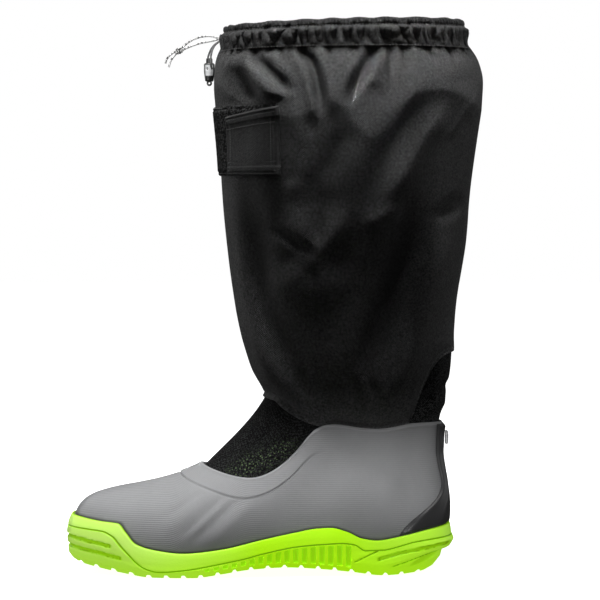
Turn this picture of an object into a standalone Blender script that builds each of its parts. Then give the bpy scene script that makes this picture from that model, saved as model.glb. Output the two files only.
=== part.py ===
"""Left sailing boot: cupsole, insole, shoe upper, mesh bootie and fabric shaft with a draw cord.

The toe points to -X, the outer (little-toe) side to -Y and +Z is up. The boot stands on its sole,
with the origin under the middle of its box. Sizes below are in millimetres and become metres when
a mesh is made. Everything round the foot shares one angle: 0 at the heel, half pi on the outer
side, pi at the toe. The share is how far along the last that angle lies, 0 at heel and 1 at toe.
"""
import math

import bmesh
import bpy
import numpy as np
from mathutils import Vector

MM = 0.001
GAP = 0.3
COLUMNS = 48


def table(heading, *rows):
    """Short table of sections, read by column name."""
    return dict(zip(heading.split(), np.array(rows, float).T))


# Last and cupsole
HEEL_X = 128.5
LAST_LENGTH = 283.8
PLAN_ROUND = 0.6
LAST = table(
    "share centre half_width floor",
    (0.00, 0.0, 40.0, 20.0),
    (0.10, 0.0, 41.0, 19.5),
    (0.20, 0.0, 38.2, 18.6),
    (0.30, -1.5, 35.8, 17.2),
    (0.40, -3.5, 34.1, 15.2),
    (0.50, -4.5, 36.0, 13.0),
    (0.60, -3.0, 42.5, 11.0),
    (0.70, 0.0, 49.0, 9.8),
    (0.80, 3.5, 52.5, 10.6),
    (0.90, 6.5, 48.5, 13.8),
    (1.00, 8.0, 36.0, 19.0),
)
TREAD = table(
    "share bottom",
    (0.000, 0.8), (0.055, 0.0), (0.155, 0.0), (0.24, 2.8), (0.32, 5.2), (0.42, 6.8), (0.52, 5.5),
    (0.59, 2.7), (0.67, 0.0), (0.78, 0.0), (0.85, 2.2), (0.93, 5.4), (0.97, 7.2), (1.0, 10.0),
)
RIM = table(
    "share top",
    (0.00, 37.5), (0.05, 34.4), (0.12, 29.6), (0.175, 27.1), (0.215, 28.6), (0.26, 34.0),
    (0.305, 37.2), (0.34, 36.8), (0.40, 33.8), (0.50, 28.0), (0.60, 21.6), (0.70, 18.8),
    (0.78, 21.3), (0.825, 25.0), (0.86, 33.5), (0.89, 40.0), (0.93, 40.8), (1.00, 43.4),
)
# Side wall of the cupsole: how high each level is, and how far it stands out from the upper
SIDE_LEVELS = table(
    "heel_share mid_share toe_share heel_out mid_out toe_out",
    (0.00, 0.00, 0.00, -11.0, 0.8, 2.2),
    (0.10, 0.10, 0.10, -5.0, 3.2, 4.8),
    (0.30, 0.20, 0.20, 0.6, 3.8, 5.2),
    (0.46, 0.25, 0.25, 2.2, 4.0, 5.3),
    (0.52, 0.31, 0.35, 8.2, 4.2, 5.3),
    (0.66, 0.55, 0.60, 8.8, 4.0, 4.8),
    (0.80, 0.80, 0.85, 4.9, 3.2, 3.4),
    (1.00, 1.00, 1.00, 2.0, 2.2, 2.2),
)
CUP_GAP = 0.5
HEEL_BLEND = (0.02, 0.16)
TOE_BLEND = (0.82, 0.97)

# Grooves in the side wall
RAIL = table(
    "share height",
    (0.206, 19.5), (0.235, 24.0), (0.27, 25.3), (0.32, 24.7), (0.385, 23.2), (0.485, 17.9),
    (0.53, 14.6), (0.61, 10.2), (0.69, 6.3), (0.76, 4.7), (0.795, 7.2), (0.848, 20.0),
    (0.89, 31.0), (0.915, 33.6), (1.00, 34.8),
)
TOE_RIB_UPPER = table("share height", (0.89, 22.8), (0.95, 25.6), (1.0, 27.2))
TOE_RIB_LOWER = table("share height", (0.862, 14.2), (0.93, 17.6), (1.0, 20.0))
HEEL_LINE = table("share height", (0.000, 28.8), (0.072, 26.0), (0.165, 19.6), (0.208, 14.4))
HEEL_SCOOP = table("share height", (0.014, 23.4), (0.06, 20.8), (0.112, 17.4), (0.168, 12.8))
THIN_GROOVE = (1.3, 0.9)
RIB_GROOVE = (3.0, 1.3)
GROOVE_PROUD = 4.0
WINDOW_COUNT = 17
WINDOW_FIRST_X = -50.5
WINDOW_PITCH = 6.72
WINDOW_WIDTH = 3.7
WINDOW_ABOVE_TREAD = 4.4
WINDOW_BELOW_RAIL = 1.7
WINDOW_DEPTH = 1.7

# Lugs under the sole
LUG_FIRST_X = -147.0
LUG_LAST_X = 113.0
LUG_PITCH = 13.0
LUG_SLOT = (3.4, 2.3)
LUG_WAVE = 2.2
LUG_REACH = 64.0
LUG_BENDS = 4

# Upper: opening edge and the handles of the curve from the feather edge up to it
UPPER_WALL = 2.2
EDGE_ROUND = 0.9
UPPER = table(
    "share edge_x edge_half edge_z low_out low_z fan flare high_z",
    (0.00, 131.2, 35.0, 115.0, 18.0, 53.0, 0.00, -8.0, 85.0),
    (0.10, 117.0, 35.6, 114.8, 9.5, 53.0, 0.00, -4.5, 85.0),
    (0.20, 92.0, 37.3, 113.7, 5.0, 50.0, 0.00, 0.0, 86.0),
    (0.30, 60.0, 36.2, 113.0, 4.0, 48.0, 0.00, 2.0, 86.0),
    (0.38, 35.5, 36.0, 113.4, 3.5, 46.0, 0.00, 4.0, 84.0),
    (0.46, 19.5, 35.8, 98.0, 3.0, 42.0, 0.00, 6.0, 76.0),
    (0.54, 3.5, 35.6, 83.0, 3.0, 38.0, 0.04, 8.0, 66.0),
    (0.62, -12.0, 36.5, 75.6, 3.0, 36.0, 0.15, 6.5, 61.0),
    (0.70, -25.0, 35.7, 75.2, 3.0, 37.0, 0.30, 4.0, 61.0),
    (0.80, -39.0, 31.8, 77.8, 3.0, 44.0, 0.42, 3.0, 60.0),
    (0.90, -50.2, 24.0, 81.0, 7.0, 60.0, 0.52, 2.0, 55.5),
    (1.00, -55.8, 20.0, 83.4, 11.5, 76.0, 0.60, 0.0, 53.5),
)
BAND_WIDTH = 18.5
BAND_RAISE = 0.8
BAND_STEP = 0.6

INSOLE_THICK = 4.0
INSOLE_INSET = 0.6

# Heel stay: half angle it covers on the upper, by height share from the sole to the collar
STAY = table(
    "height half_angle",
    (0.00, 40.0), (0.10, 36.0), (0.20, 27.0), (0.32, 17.0), (0.42, 14.0), (0.55, 16.5),
    (0.75, 22.0), (1.00, 25.0),
)
STAY_THICK = 1.4
STAY_RIB = 0.7
STAY_CLEAR = 0.6
STAY_SEAT = 0.9
TAB_SIZE = (1.8, 10.0, 10.0)
TAB_Z = 103.0

# Bootie: from inside the collar up to a ring hidden in the shaft
BOOTIE_WALL = 1.6
BOOTIE_SEAT = 0.5
BOOTIE_TUCK = 9.0
BOOTIE_TOP = (176.0, 16.0)
BOOTIE_RING = (-3.0, 138.0, 41.0)
BOOTIE = table(
    "share lean first second bulge",
    (0.0, -8.0, 16.0, 46.0, 2.5),
    (0.3, 0.0, 15.0, 30.0, 0.0),
    (0.5, 12.0, 25.0, 34.0, 0.0),
    (0.7, 24.0, 32.0, 36.0, -2.0),
    (1.0, 44.0, 30.0, 26.0, -8.0),
)
# How far round its own ring the shaft is at each share of the last
RING = table(
    "share turn",
    (0.00, 0.00), (0.10, 0.14), (0.17, 0.25), (0.30, 0.50), (0.38, 0.66), (0.50, 0.80),
    (0.70, 0.92), (1.00, 1.00),
)

# Shaft: outline by height, its lower edge, and the reach of the roll that turns in to the bootie
SHAFT = table(
    "height front back half_width wall",
    (100.0, -2.0, 134.0, 39.0, 1.2),
    (136.0, -10.6, 136.5, 42.5, 1.2),
    (161.0, -18.8, 139.4, 47.5, 1.2),
    (185.0, -25.0, 140.6, 51.0, 1.2),
    (215.0, -30.2, 142.6, 54.5, 1.2),
    (250.0, -35.2, 148.2, 58.5, 1.2),
    (285.0, -40.2, 151.4, 61.5, 1.2),
    (330.0, -43.2, 156.2, 64.5, 1.2),
    (367.0, -45.4, 161.2, 66.0, 1.2),
    (388.0, -45.4, 161.2, 66.0, 1.2),
    (398.0, -43.6, 156.2, 63.6, 1.2),
    (407.0, -40.2, 149.0, 60.4, 1.3),
    (411.0, -39.0, 146.8, 59.4, 2.4),
    (416.0, -39.2, 147.6, 60.0, 4.4),
    (421.0, -38.0, 146.6, 59.2, 4.0),
    (424.5, -36.2, 144.2, 57.6, 1.8),
)
RIM_SLANT = (0.028, 57.0, 388.0, 424.5)
SHAFT_EDGE = table(
    "share height",
    (0.0, 171.0), (0.05, 167.0), (0.08, 160.0), (0.105, 149.0), (0.13, 132.0), (0.146, 119.5),
    (0.165, 111.0), (0.19, 107.0), (0.36, 106.5), (0.378, 113.8), (0.40, 115.3), (0.44, 117.0),
    (0.5, 120.5), (0.6, 128.0), (0.7, 133.5), (1.0, 136.0),
)
TUCK_BLEND = (0.05, 0.10, 0.50, 0.58)
HUG_GAP = 0.8
COLLAR_CLEAR = 1.5
HEM = 3.0
HEM_BEND = 0.82
ROLL_HEIGHT = 20.0
ROLL_STEPS = (0.0, 0.2, 1.0)
SHAFT_LEVELS = (205.0, 250.0, 310.0, 367.0, 388.0, 398.0, 407.0, 411.0, 416.0, 420.5, 424.5)
SHAFT_INNER_LEVELS = (230.0, 367.0, 407.0, 416.0, 424.5)

# Hook-and-loop closure on the shaft: turn round the ring in degrees (180 is the front), and height
PATCH_TURN = (121.0, 212.0)
PATCH_HEIGHT = (306.5, 359.0)
PATCH_THICK = 1.7
FLAP_TURN = (118.5, 152.5)
FLAP_BOTTOM = (305.0, 306.0)
FLAP_TOP = (358.0, 350.5)
FLAP_THICK = 2.0

# Draw cord and cord lock
CORD = 1.5
EYELET_CENTRE = (-41.1, 0.0, 411.5)
EYELET_OUTER = 4.4
EYELET_HOLE = 2.2
EYELET_THICK = 1.5
STRAND_UPPER = ((-41.8, 0.9, 412.4), (-46.8, 1.3, 414.2), (-55.4, 1.5, 414.2), (-64.0, 1.2, 411.2),
                (-71.1, 0.6, 405.7))
STRAND_LOWER = ((-41.8, -0.9, 412.2), (-48.3, -1.6, 410.6), (-56.1, -1.8, 409.1), (-64.0, -1.5, 406.6),
                (-69.9, -1.0, 404.1))
TAIL_LONG = ((-75.3, -0.7, 401.2), (-78.8, -1.8, 396.9), (-80.4, -2.4, 393.6), (-81.2, -2.6, 390.4))
TAIL_SHORT = ((-76.4, 0.8, 402.4), (-80.2, 2.0, 400.2), (-82.9, 2.8, 397.2), (-84.2, 3.2, 393.6))
KNOT_CENTRE = (-73.2, 0.0, 403.4)
KNOT_RADII = (3.4, 2.7, 2.7)
LOOP_NEAR = ((-41.8, -0.9, 410.5), (-45.6, -2.6, 407.2), (-48.0, -4.9, 401.5), (-48.6, -7.0, 396.0),
             (-48.4, -7.4, 392.3), (-48.1, -6.1, 389.9), (-47.75, -4.6, 389.3))
LOOP_FAR = ((-41.8, 0.9, 410.7), (-46.4, 2.4, 407.6), (-50.0, 4.7, 402.0), (-51.6, 7.0, 396.0),
            (-51.6, 7.4, 392.3), (-51.9, 6.1, 389.9), (-52.25, 4.6, 389.3))
LOCK_AXIS = (-50.0, 0.0)
LOCK_TURN = -28.0
LOCK_RADIUS = 4.2
LOCK_BORE = 2.95
LOCK_BOTTOM = 379.5
LOCK_TOP = 393.5
LOCK_FLOOR = 381.2
LOCK_TAIL = (2.2, 3.2)
LOCK_BEVEL = 0.6
LOCK_REACH = 20.0
LOCK_HOLE = 1.35
LOCK_HOLE_Z = 389.3
PLUNGER_RADIUS = 2.6
PLUNGER_SPAN = (384.2, 397.4)
PLUNGER_SLOT = (388.4, 393.0)
PLUNGER_SLOT_WIDTH = 2.3
PLUNGER_BEVEL = 0.8


def spline(at, knots, values):
    """Natural cubic curve through a table's rows."""
    step = np.diff(knots)
    system = np.eye(len(knots))
    target = np.zeros(len(knots))
    slope = np.diff(values) / step
    for row in range(1, len(knots) - 1):
        before, after = step[row - 1], step[row]
        system[row, row - 1:row + 2] = before, 2 * (before + after), after
        target[row] = 6 * (slope[row] - slope[row - 1])
    bend = np.linalg.solve(system, target)
    at = np.clip(at, knots[0], knots[-1])
    row = np.clip(np.searchsorted(knots, at, side="right") - 1, 0, len(knots) - 2)
    near = (knots[row + 1] - at) / step[row]
    far = 1 - near
    curve = (near ** 3 - near) * bend[row] + (far ** 3 - far) * bend[row + 1]
    return near * values[row] + far * values[row + 1] + curve * step[row] ** 2 / 6


def even(at, knots, values):
    """Curve through a table's rows that stays between neighbouring rows."""
    slope = np.diff(values) / np.diff(knots)
    tangent = np.zeros(len(knots))
    tangent[0], tangent[-1] = slope[0], slope[-1]
    product = slope[:-1] * slope[1:]
    total = np.where(product > 0, slope[:-1] + slope[1:], 1.0)
    tangent[1:-1] = np.where(product > 0, 2 * product / total, 0.0)
    at = np.clip(at, knots[0], knots[-1])
    row = np.clip(np.searchsorted(knots, at, side="right") - 1, 0, len(knots) - 2)
    width = knots[row + 1] - knots[row]
    t = (at - knots[row]) / width
    start = values[row] * (1 + 2 * t) * (1 - t) ** 2 + tangent[row] * width * t * (1 - t) ** 2
    end = values[row + 1] * t ** 2 * (3 - 2 * t) + tangent[row + 1] * width * t ** 2 * (t - 1)
    return start + end


def ease(low, high, value):
    """Smooth step from 0 at low to 1 at high."""
    t = np.clip((value - low) / (high - low), 0, 1)
    return t * t * (3 - 2 * t)


def share_of(angle):
    return (1 - np.cos(angle)) / 2


def angle_of(share):
    return np.arccos(1 - 2 * np.asarray(share))


def swing(angle, roundness):
    """Signed sideways reach, 1 on the outer side, blunter at the ends than a sine."""
    return np.sign(np.sin(angle)) * np.abs(np.sin(angle)) ** roundness


def last_plan(angle):
    """Feather edge of the last seen from above."""
    share = share_of(angle)
    half = spline(share, LAST["share"], LAST["half_width"])
    centre = spline(share, LAST["share"], LAST["centre"])
    return np.stack([HEEL_X - share * LAST_LENGTH, centre - half * swing(angle, PLAN_ROUND)], axis=-1)


def plan_out(angle):
    """Direction that points away from the last in plan."""
    along = last_plan(angle + 0.02) - last_plan(angle - 0.02)
    along /= np.linalg.norm(along, axis=-1, keepdims=True)
    return np.stack([-along[..., 1], along[..., 0]], axis=-1)


def floor_z(angle):
    return spline(share_of(angle), LAST["share"], LAST["floor"])


def tread_z(angle):
    return even(share_of(angle), TREAD["share"], TREAD["bottom"])


def rim_z(angle):
    return even(share_of(angle), RIM["share"], RIM["top"])


def opening_edge(angle):
    """Edge of the collar and throat opening."""
    share = share_of(angle)
    half = spline(share, UPPER["share"], UPPER["edge_half"])
    return np.stack([
        spline(share, UPPER["share"], UPPER["edge_x"]),
        -half * swing(angle, EDGE_ROUND),
        spline(share, UPPER["share"], UPPER["edge_z"]),
    ], axis=-1)


def upper_skin(angle, rise):
    """Outer face of the upper: a cubic curve from the feather edge, rise 0, to the opening, rise 1."""
    angle, rise = np.broadcast_arrays(angle, rise)
    share = share_of(angle)
    column = {name: spline(share, UPPER["share"], UPPER[name]) for name in UPPER if name != "share"}
    edge = opening_edge(angle)
    plan = last_plan(angle)
    out = plan_out(angle)
    foot = np.concatenate([plan, (floor_z(angle) + GAP)[..., None]], axis=-1)
    low = np.concatenate([plan + out * column["low_out"][..., None], column["low_z"][..., None]], axis=-1)
    spread = (plan - edge[..., :2]) * column["fan"][..., None]
    reach = edge[..., :2] + spread + out * column["flare"][..., None]
    high = np.concatenate([reach, column["high_z"][..., None]], axis=-1)
    t = rise[..., None]
    ends = foot * (1 - t) ** 3 + edge * t ** 3
    return ends + 3 * low * t * (1 - t) ** 2 + 3 * high * t ** 2 * (1 - t)


def facing(skin, angle, rise):
    """Unit normal of a skin, away from the foot."""
    angle, rise = np.broadcast_arrays(np.asarray(angle, float), np.asarray(rise, float))
    low, high = np.clip(rise - 0.01, 0, 1), np.clip(rise + 0.01, 0, 1)
    upward = skin(angle, high) - skin(angle, low)
    around = skin(angle + 0.02, rise) - skin(angle - 0.02, rise)
    normal = np.cross(upward, around)
    return normal / np.linalg.norm(normal, axis=-1, keepdims=True)


def rise_at_height(skin, angle, height):
    """Rise at which each column of a skin reaches a height."""
    rise = np.linspace(0, 1, 121)
    heights = skin(angle[None, :], rise[:, None])[..., 2]
    found = [np.interp(height[column], heights[:, column], rise) for column in range(len(angle))]
    return np.array(found)


def rise_at_reach(skin, angle, reach):
    """Rise that lies a given length of skin below the top edge."""
    rise = np.linspace(0, 1, 121)
    points = skin(angle[None, :], rise[:, None])
    length = np.linalg.norm(np.diff(points, axis=0), axis=-1)
    below = np.concatenate([np.cumsum(length[::-1], axis=0)[::-1], np.zeros((1, len(angle)))])
    found = [np.interp(-reach, -below[:, column], rise) for column in range(len(angle))]
    return np.array(found)


def make(name, points, faces, finish, smooth_angle=40.0):
    """Object of one closed mesh, in metres, with its faces turned outwards."""
    mesh = bpy.data.meshes.new(name)
    mesh.from_pydata((np.asarray(points) * MM).tolist(), [], faces)
    shape = bmesh.new()
    shape.from_mesh(mesh)
    bmesh.ops.recalc_face_normals(shape, faces=shape.faces)
    shape.to_mesh(mesh)
    shape.free()
    mesh.shade_smooth()
    mesh.set_sharp_from_angle(angle=math.radians(smooth_angle))
    part = bpy.data.objects.new(name, mesh)
    bpy.context.collection.objects.link(part)
    if finish:
        mesh.materials.append(finish)
    return part


def ring_faces(rings, columns, closed):
    """Quads between neighbouring rings, and from the last ring back to the first when closed."""
    faces = []
    for ring in range(rings if closed else rings - 1):
        here, there = ring * columns, (ring + 1) % rings * columns
        for column in range(columns):
            after = (column + 1) % columns
            faces.append((here + column, here + after, there + after, there + column))
    return faces


def shell(name, outer, inner, finish):
    """Wall between an outer and an inner set of rings, open at both ends."""
    rings = np.concatenate([outer, inner[::-1]])
    faces = ring_faces(len(rings), rings.shape[1], True)
    return make(name, rings.reshape(-1, 3), faces, finish)


def ladder(ring, start, spare):
    """Fill a foot-shaped ring with rungs from its outer to its inner side, met at a middle line."""
    columns = len(ring)
    half = columns // 2
    points = []
    rungs = [[start] * 3]
    for column in range(1, half):
        one, other = ring[column], ring[columns - column]
        rungs.append([start + column, spare + len(points), start + columns - column])
        points.append((one + other) / 2)
    rungs.append([start + half] * 3)
    faces = []
    for before, after in zip(rungs, rungs[1:]):
        for step in range(2):
            corners = (before[step], before[step + 1], after[step + 1], after[step])
            faces.append(tuple(dict.fromkeys(corners)))
    return points, faces


def capped(name, rings, finish):
    """Stack of foot-shaped rings closed at its first and last ring."""
    columns = rings.shape[1]
    points = list(rings.reshape(-1, 3))
    faces = ring_faces(len(rings), columns, False)
    for place in (0, len(rings) - 1):
        more, rungs = ladder(rings[place], place * columns, len(points))
        points += more
        faces += rungs
    return make(name, points, faces, finish)


def plate(name, outer, inner, finish):
    """Curved plate between two grids of the same size."""
    rows, columns = outer.shape[:2]
    points = np.concatenate([outer.reshape(-1, 3), inner.reshape(-1, 3)])
    under = rows * columns
    faces = []
    for row in range(rows - 1):
        for column in range(columns - 1):
            corner = row * columns + column
            quad = (corner, corner + 1, corner + columns + 1, corner + columns)
            faces.append(quad)
            faces.append(tuple(index + under for index in reversed(quad)))
    border = list(range(columns))
    border += [row * columns + columns - 1 for row in range(1, rows)]
    border += [(rows - 1) * columns + column for column in range(columns - 2, -1, -1)]
    border += [row * columns for row in range(rows - 2, 0, -1)]
    for here, there in zip(border, border[1:] + border[:1]):
        faces.append((here, there, there + under, here + under))
    return make(name, points, faces, finish)


def finish(name, colour, roughness, metallic=0.0):
    """Plain material in the piece's own colour."""
    material = bpy.data.materials.new(name)
    material.use_nodes = True
    shader = material.node_tree.nodes["Principled BSDF"]
    shader.inputs["Base Color"].default_value = (*colour, 1.0)
    shader.inputs["Roughness"].default_value = roughness
    shader.inputs["Metallic"].default_value = metallic
    material.diffuse_color = (*colour, 1.0)
    return material


def cut(part, cutters):
    """Take the cutters out of a part."""
    for cutter in cutters:
        cutter.hide_render = True
        cutter.display_type = "WIRE"
        step = part.modifiers.new(cutter.name, "BOOLEAN")
        step.operation = "DIFFERENCE"
        step.solver = "EXACT"
        step.object = cutter


# Cupsole
def side_levels(angle):
    """Height share and stand-out of the side wall's levels at each angle."""
    share = share_of(angle)
    heel = 1 - ease(*HEEL_BLEND, share)
    toe = ease(*TOE_BLEND, share)
    blend = []
    for kind in ("share", "out"):
        mid = SIDE_LEVELS["mid_" + kind][:, None]
        at_heel = SIDE_LEVELS["heel_" + kind][:, None]
        at_toe = SIDE_LEVELS["toe_" + kind][:, None]
        blend.append(mid + (at_heel - mid) * heel + (at_toe - mid) * toe)
    return blend


def sole_side(angle, height):
    """Point on the outside of the side wall."""
    shares, outs = side_levels(angle)
    bottom, top = tread_z(angle), rim_z(angle)
    level = (height - bottom) / (top - bottom)
    stand = np.array([np.interp(level[k], shares[:, k], outs[:, k]) for k in range(len(angle))])
    inside = upper_skin(angle, rise_at_height(upper_skin, angle, height))[:, :2]
    return np.concatenate([inside + plan_out(angle) * (CUP_GAP + stand)[:, None], height[:, None]], axis=1)


def lower_rises(angle):
    """Rises of the upper's rows inside the cup, from feather edge to sole rim."""
    foot, top = floor_z(angle) + GAP, rim_z(angle)
    return [rise_at_height(upper_skin, angle, foot + (top - foot) * step) for step in (0, 1 / 3, 2 / 3, 1)]


def bar(rings):
    """Points and faces of a bar through four-cornered rings."""
    count = len(rings)
    faces = ring_faces(count, 4, False)
    faces += [(0, 1, 2, 3), tuple(4 * count - 4 + corner for corner in range(4))]
    return rings.reshape(-1, 3), faces


def ribbon(points, out, across, width, depth):
    """Cutter along a line on the side wall: a bar from below the surface to well outside it."""
    half = np.broadcast_to(width, len(points))[:, None] / 2
    corners = [points + across * half * up + out * reach
               for up, reach in ((1, GROOVE_PROUD), (-1, GROOVE_PROUD), (-1, -depth), (1, -depth))]
    return bar(np.stack(corners, axis=1))


def groove(angles, heights, size):
    """Cutter that follows the side wall through the given angles and heights."""
    width, depth = size
    flat_out = plan_out(angles)
    out = np.concatenate([flat_out, np.zeros((len(angles), 1))], axis=1)
    up = np.broadcast_to((0.0, 0.0, 1.0), out.shape)
    points = sole_side(angles, heights)
    along = np.gradient(points, axis=0)
    across = np.cross(along, out)
    across /= np.linalg.norm(across, axis=1, keepdims=True)
    across = np.where(np.sum(across * up, axis=1, keepdims=True) < 0, -across, across)
    return ribbon(points, out, across, width, depth)


def groove_line(rows, steps, wraps, mirror=False):
    """Angles and heights along a groove's table, run round the end of the shoe if it wraps."""
    first, last = angle_of(rows["share"][0]), angle_of(rows["share"][-1])
    angles = np.linspace(first, last, steps)
    heights = even(share_of(angles), rows["share"], rows["height"])
    if wraps == "toe":
        angles = np.concatenate([angles, 2 * np.pi - angles[-2::-1]])
        heights = np.concatenate([heights, heights[-2::-1]])
    if wraps == "heel":
        angles = np.concatenate([-angles[:0:-1], angles])
        heights = np.concatenate([heights[:0:-1], heights])
    return (-angles if mirror else angles), heights


def window_cutter(x, side):
    """Cutter for one upright window recess between tread and rail."""
    shares = (HEEL_X - np.array([x - WINDOW_WIDTH / 2, x + WINDOW_WIDTH / 2])) / LAST_LENGTH
    angles = angle_of(shares)
    low = tread_z(angles) + WINDOW_ABOVE_TREAD
    high = even(shares, RAIL["share"], RAIL["height"]) - WINDOW_BELOW_RAIL
    points = sole_side(angles * side, (low + high) / 2)
    out = np.concatenate([plan_out(angles * side), np.zeros((2, 1))], axis=1)
    up = np.broadcast_to((0.0, 0.0, 1.0), out.shape)
    return ribbon(points, out, up, high - low, WINDOW_DEPTH)


def lug_cutter(x):
    """Cutter for one wavy slot across the tread."""
    width, depth = LUG_SLOT
    y = np.linspace(-LUG_REACH, LUG_REACH, LUG_BENDS)
    wave = LUG_WAVE * np.cos(np.arange(LUG_BENDS) * np.pi)
    top = float(tread_z(angle_of((HEEL_X - x) / LAST_LENGTH))) + depth
    middle = np.stack([x + wave, y, np.full(LUG_BENDS, top)], axis=1)
    half = np.array((width / 2, 0, 0))
    drop = np.array((0, 0, depth + GROOVE_PROUD))
    rings = np.stack([middle - half, middle + half, middle + half - drop, middle - half - drop], axis=1)
    return bar(rings)


def joined(name, pieces):
    """One cutter object of several separate bars."""
    points, faces = [], []
    for more, quads in pieces:
        start = sum(len(block) for block in points)
        points.append(more)
        faces += [tuple(index + start for index in quad) for quad in quads]
    return make(name, np.concatenate(points), faces, None)


def build_outsole(rubber):
    angle = np.linspace(0, 2 * np.pi, COLUMNS, endpoint=False)
    shares, _ = side_levels(angle)
    bottom, top = tread_z(angle), rim_z(angle)
    rings = [sole_side(angle, bottom + (top - bottom) * share) for share in shares]
    out = np.concatenate([plan_out(angle), np.zeros((COLUMNS, 1))], axis=1)
    for rise in reversed(lower_rises(angle)):
        rings.append(upper_skin(angle, rise) + out * CUP_GAP)
    rings[-1][:, 2] = floor_z(angle)
    sole = capped("outsole", np.array(rings), rubber)
    grooves = [groove(*groove_line(RAIL, 20, "toe"), THIN_GROOVE)]
    grooves.append(groove(*groove_line(TOE_RIB_UPPER, 7, "toe"), RIB_GROOVE))
    grooves.append(groove(*groove_line(TOE_RIB_LOWER, 7, "toe"), RIB_GROOVE))
    grooves.append(groove(*groove_line(HEEL_LINE, 9, "heel"), THIN_GROOVE))
    for mirror in (False, True):
        grooves.append(groove(*groove_line(HEEL_SCOOP, 7, "", mirror), RIB_GROOVE))
    windows = [window_cutter(WINDOW_FIRST_X + WINDOW_PITCH * k, side)
               for k in range(WINDOW_COUNT) for side in (1, -1)]
    lugs = [lug_cutter(x) for x in np.arange(LUG_FIRST_X, LUG_LAST_X + 1, LUG_PITCH)]
    cut(sole, [joined("side_cutter", grooves + windows), joined("lug_cutter", lugs)])
    return sole


def build_insole(foam):
    angle = np.linspace(0, 2 * np.pi, COLUMNS, endpoint=False)
    out = plan_out(angle)
    plan = last_plan(angle) - out * (UPPER_WALL + INSOLE_INSET)
    low = floor_z(angle) + GAP
    rings = [np.concatenate([plan, height[:, None]], axis=1) for height in (low, low + INSOLE_THICK)]
    return capped("insole", np.array(rings), foam)


# Shoe upper and what lies on it
def upper_wall(angle, rise, depth):
    """Point in the upper's wall, a depth in from its plain outer face."""
    return upper_skin(angle, rise) - facing(upper_skin, angle, rise) * depth


def build_upper(textile):
    angle = np.linspace(0, 2 * np.pi, COLUMNS, endpoint=False)
    cup = lower_rises(angle)
    under_band = rise_at_reach(upper_skin, angle, BAND_WIDTH + BAND_STEP)
    on_band = rise_at_reach(upper_skin, angle, BAND_WIDTH - BAND_STEP)
    lip = rise_at_reach(upper_skin, angle, 2 * BAND_STEP)
    edge = np.ones(COLUMNS)
    side = [cup[-1] + (under_band - cup[-1]) * step for step in (0.2, 0.4, 0.6, 0.8)]
    flat = cup + side + [under_band]
    raised = [on_band, (on_band + lip) / 2, lip]
    outer = [upper_wall(angle, rise, 0) for rise in flat]
    outer += [upper_wall(angle, rise, -BAND_RAISE) for rise in raised]
    outer.append(upper_wall(angle, edge, -BAND_RAISE / 2))
    tuck = rise_at_reach(upper_skin, angle, BOOTIE_TUCK)
    lining = (cup[0], cup[-1], *side[1::2], on_band, tuck, edge)
    inner = [upper_wall(angle, rise, UPPER_WALL) for rise in lining]
    inner[0][:, 2] = outer[0][:, 2]
    return shell("upper", np.array(outer), np.array(inner), textile)


def build_heel_stay(rubber):
    """Counter and back strip, cut from the upper's own face between sole rim and collar."""
    height = np.array((0.0, 0.06, 0.12, 0.18, 0.24, 0.31, 0.39, 0.5, 0.62, 0.74, 0.84, 1.0))
    half = np.radians(spline(height, STAY["height"], STAY["half_angle"]))
    across = np.linspace(-1, 1, 11)
    faces = {"inner": [], "outer": []}
    for level, reach in zip(height, half):
        angle = across * reach
        low = rim_z(angle) + STAY_CLEAR
        high = opening_edge(angle)[:, 2] - STAY_CLEAR
        rise = rise_at_height(upper_skin, angle, low + (high - low) * level)
        skin = upper_skin(angle, rise)
        out = facing(upper_skin, angle, rise)
        lift = STAY_SEAT + BAND_RAISE * ease(0.70, 0.80, level)
        rib = STAY_RIB * (1 - ease(0.15, 0.45, np.abs(across))) * ease(0.1, 0.3, level)
        faces["inner"].append(skin + out * lift)
        faces["outer"].append(skin + out * (lift + STAY_THICK + rib)[:, None])
    return plate("heel_stay", np.array(faces["outer"]), np.array(faces["inner"]), rubber)


def build_heel_tab(foil):
    """Small folded tab standing on the back strip below the collar."""
    thick, wide, tall = TAB_SIZE
    side = np.linspace(-wide / 2, wide / 2, 5)
    height = TAB_Z + np.linspace(-tall / 2, tall / 2, 4)
    back = upper_skin(np.zeros(4), rise_at_height(upper_skin, np.zeros(4), height))[:, 0]
    seat = back.max() + STAY_SEAT + BAND_RAISE + STAY_THICK + STAY_RIB + 2 * GAP
    y, z = np.meshgrid(side, height)
    crown = 1 - (2 * y / wide) ** 2 * 0.4
    inner = np.stack([np.full_like(y, seat), y, z], axis=-1)
    outer = np.stack([seat + thick * crown, y, z], axis=-1)
    return plate("heel_tab", outer, inner, foil)


# Bootie and shaft
def tucked(angle):
    """1 where the shaft is tucked inside the collar, 0 where it is free."""
    share = share_of(angle)
    first, full, last, end = TUCK_BLEND
    return ease(first, full, share) * (1 - ease(last, end, share))


def bootie_inset(angle):
    """Depth of the bootie's outer face under the upper's outer face."""
    return UPPER_WALL + BOOTIE_SEAT + (2 * HUG_GAP + SHAFT["wall"][0]) * tucked(angle)


def ring_turn(angle):
    """Cosine and sine of the place round an oval ring, turned so that its columns stay upright."""
    turn = even(share_of(angle), RING["share"], RING["turn"])
    return 1 - 2 * turn, 2 * np.sqrt(np.clip(turn * (1 - turn), 0, None)) * np.sign(np.sin(angle))


def round_ring(angle, front, back, half):
    """Oval ring round the leg."""
    cosine, sine = ring_turn(angle)
    radius = (back - front) / 2
    return back - radius + radius * cosine, -half * sine


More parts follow.
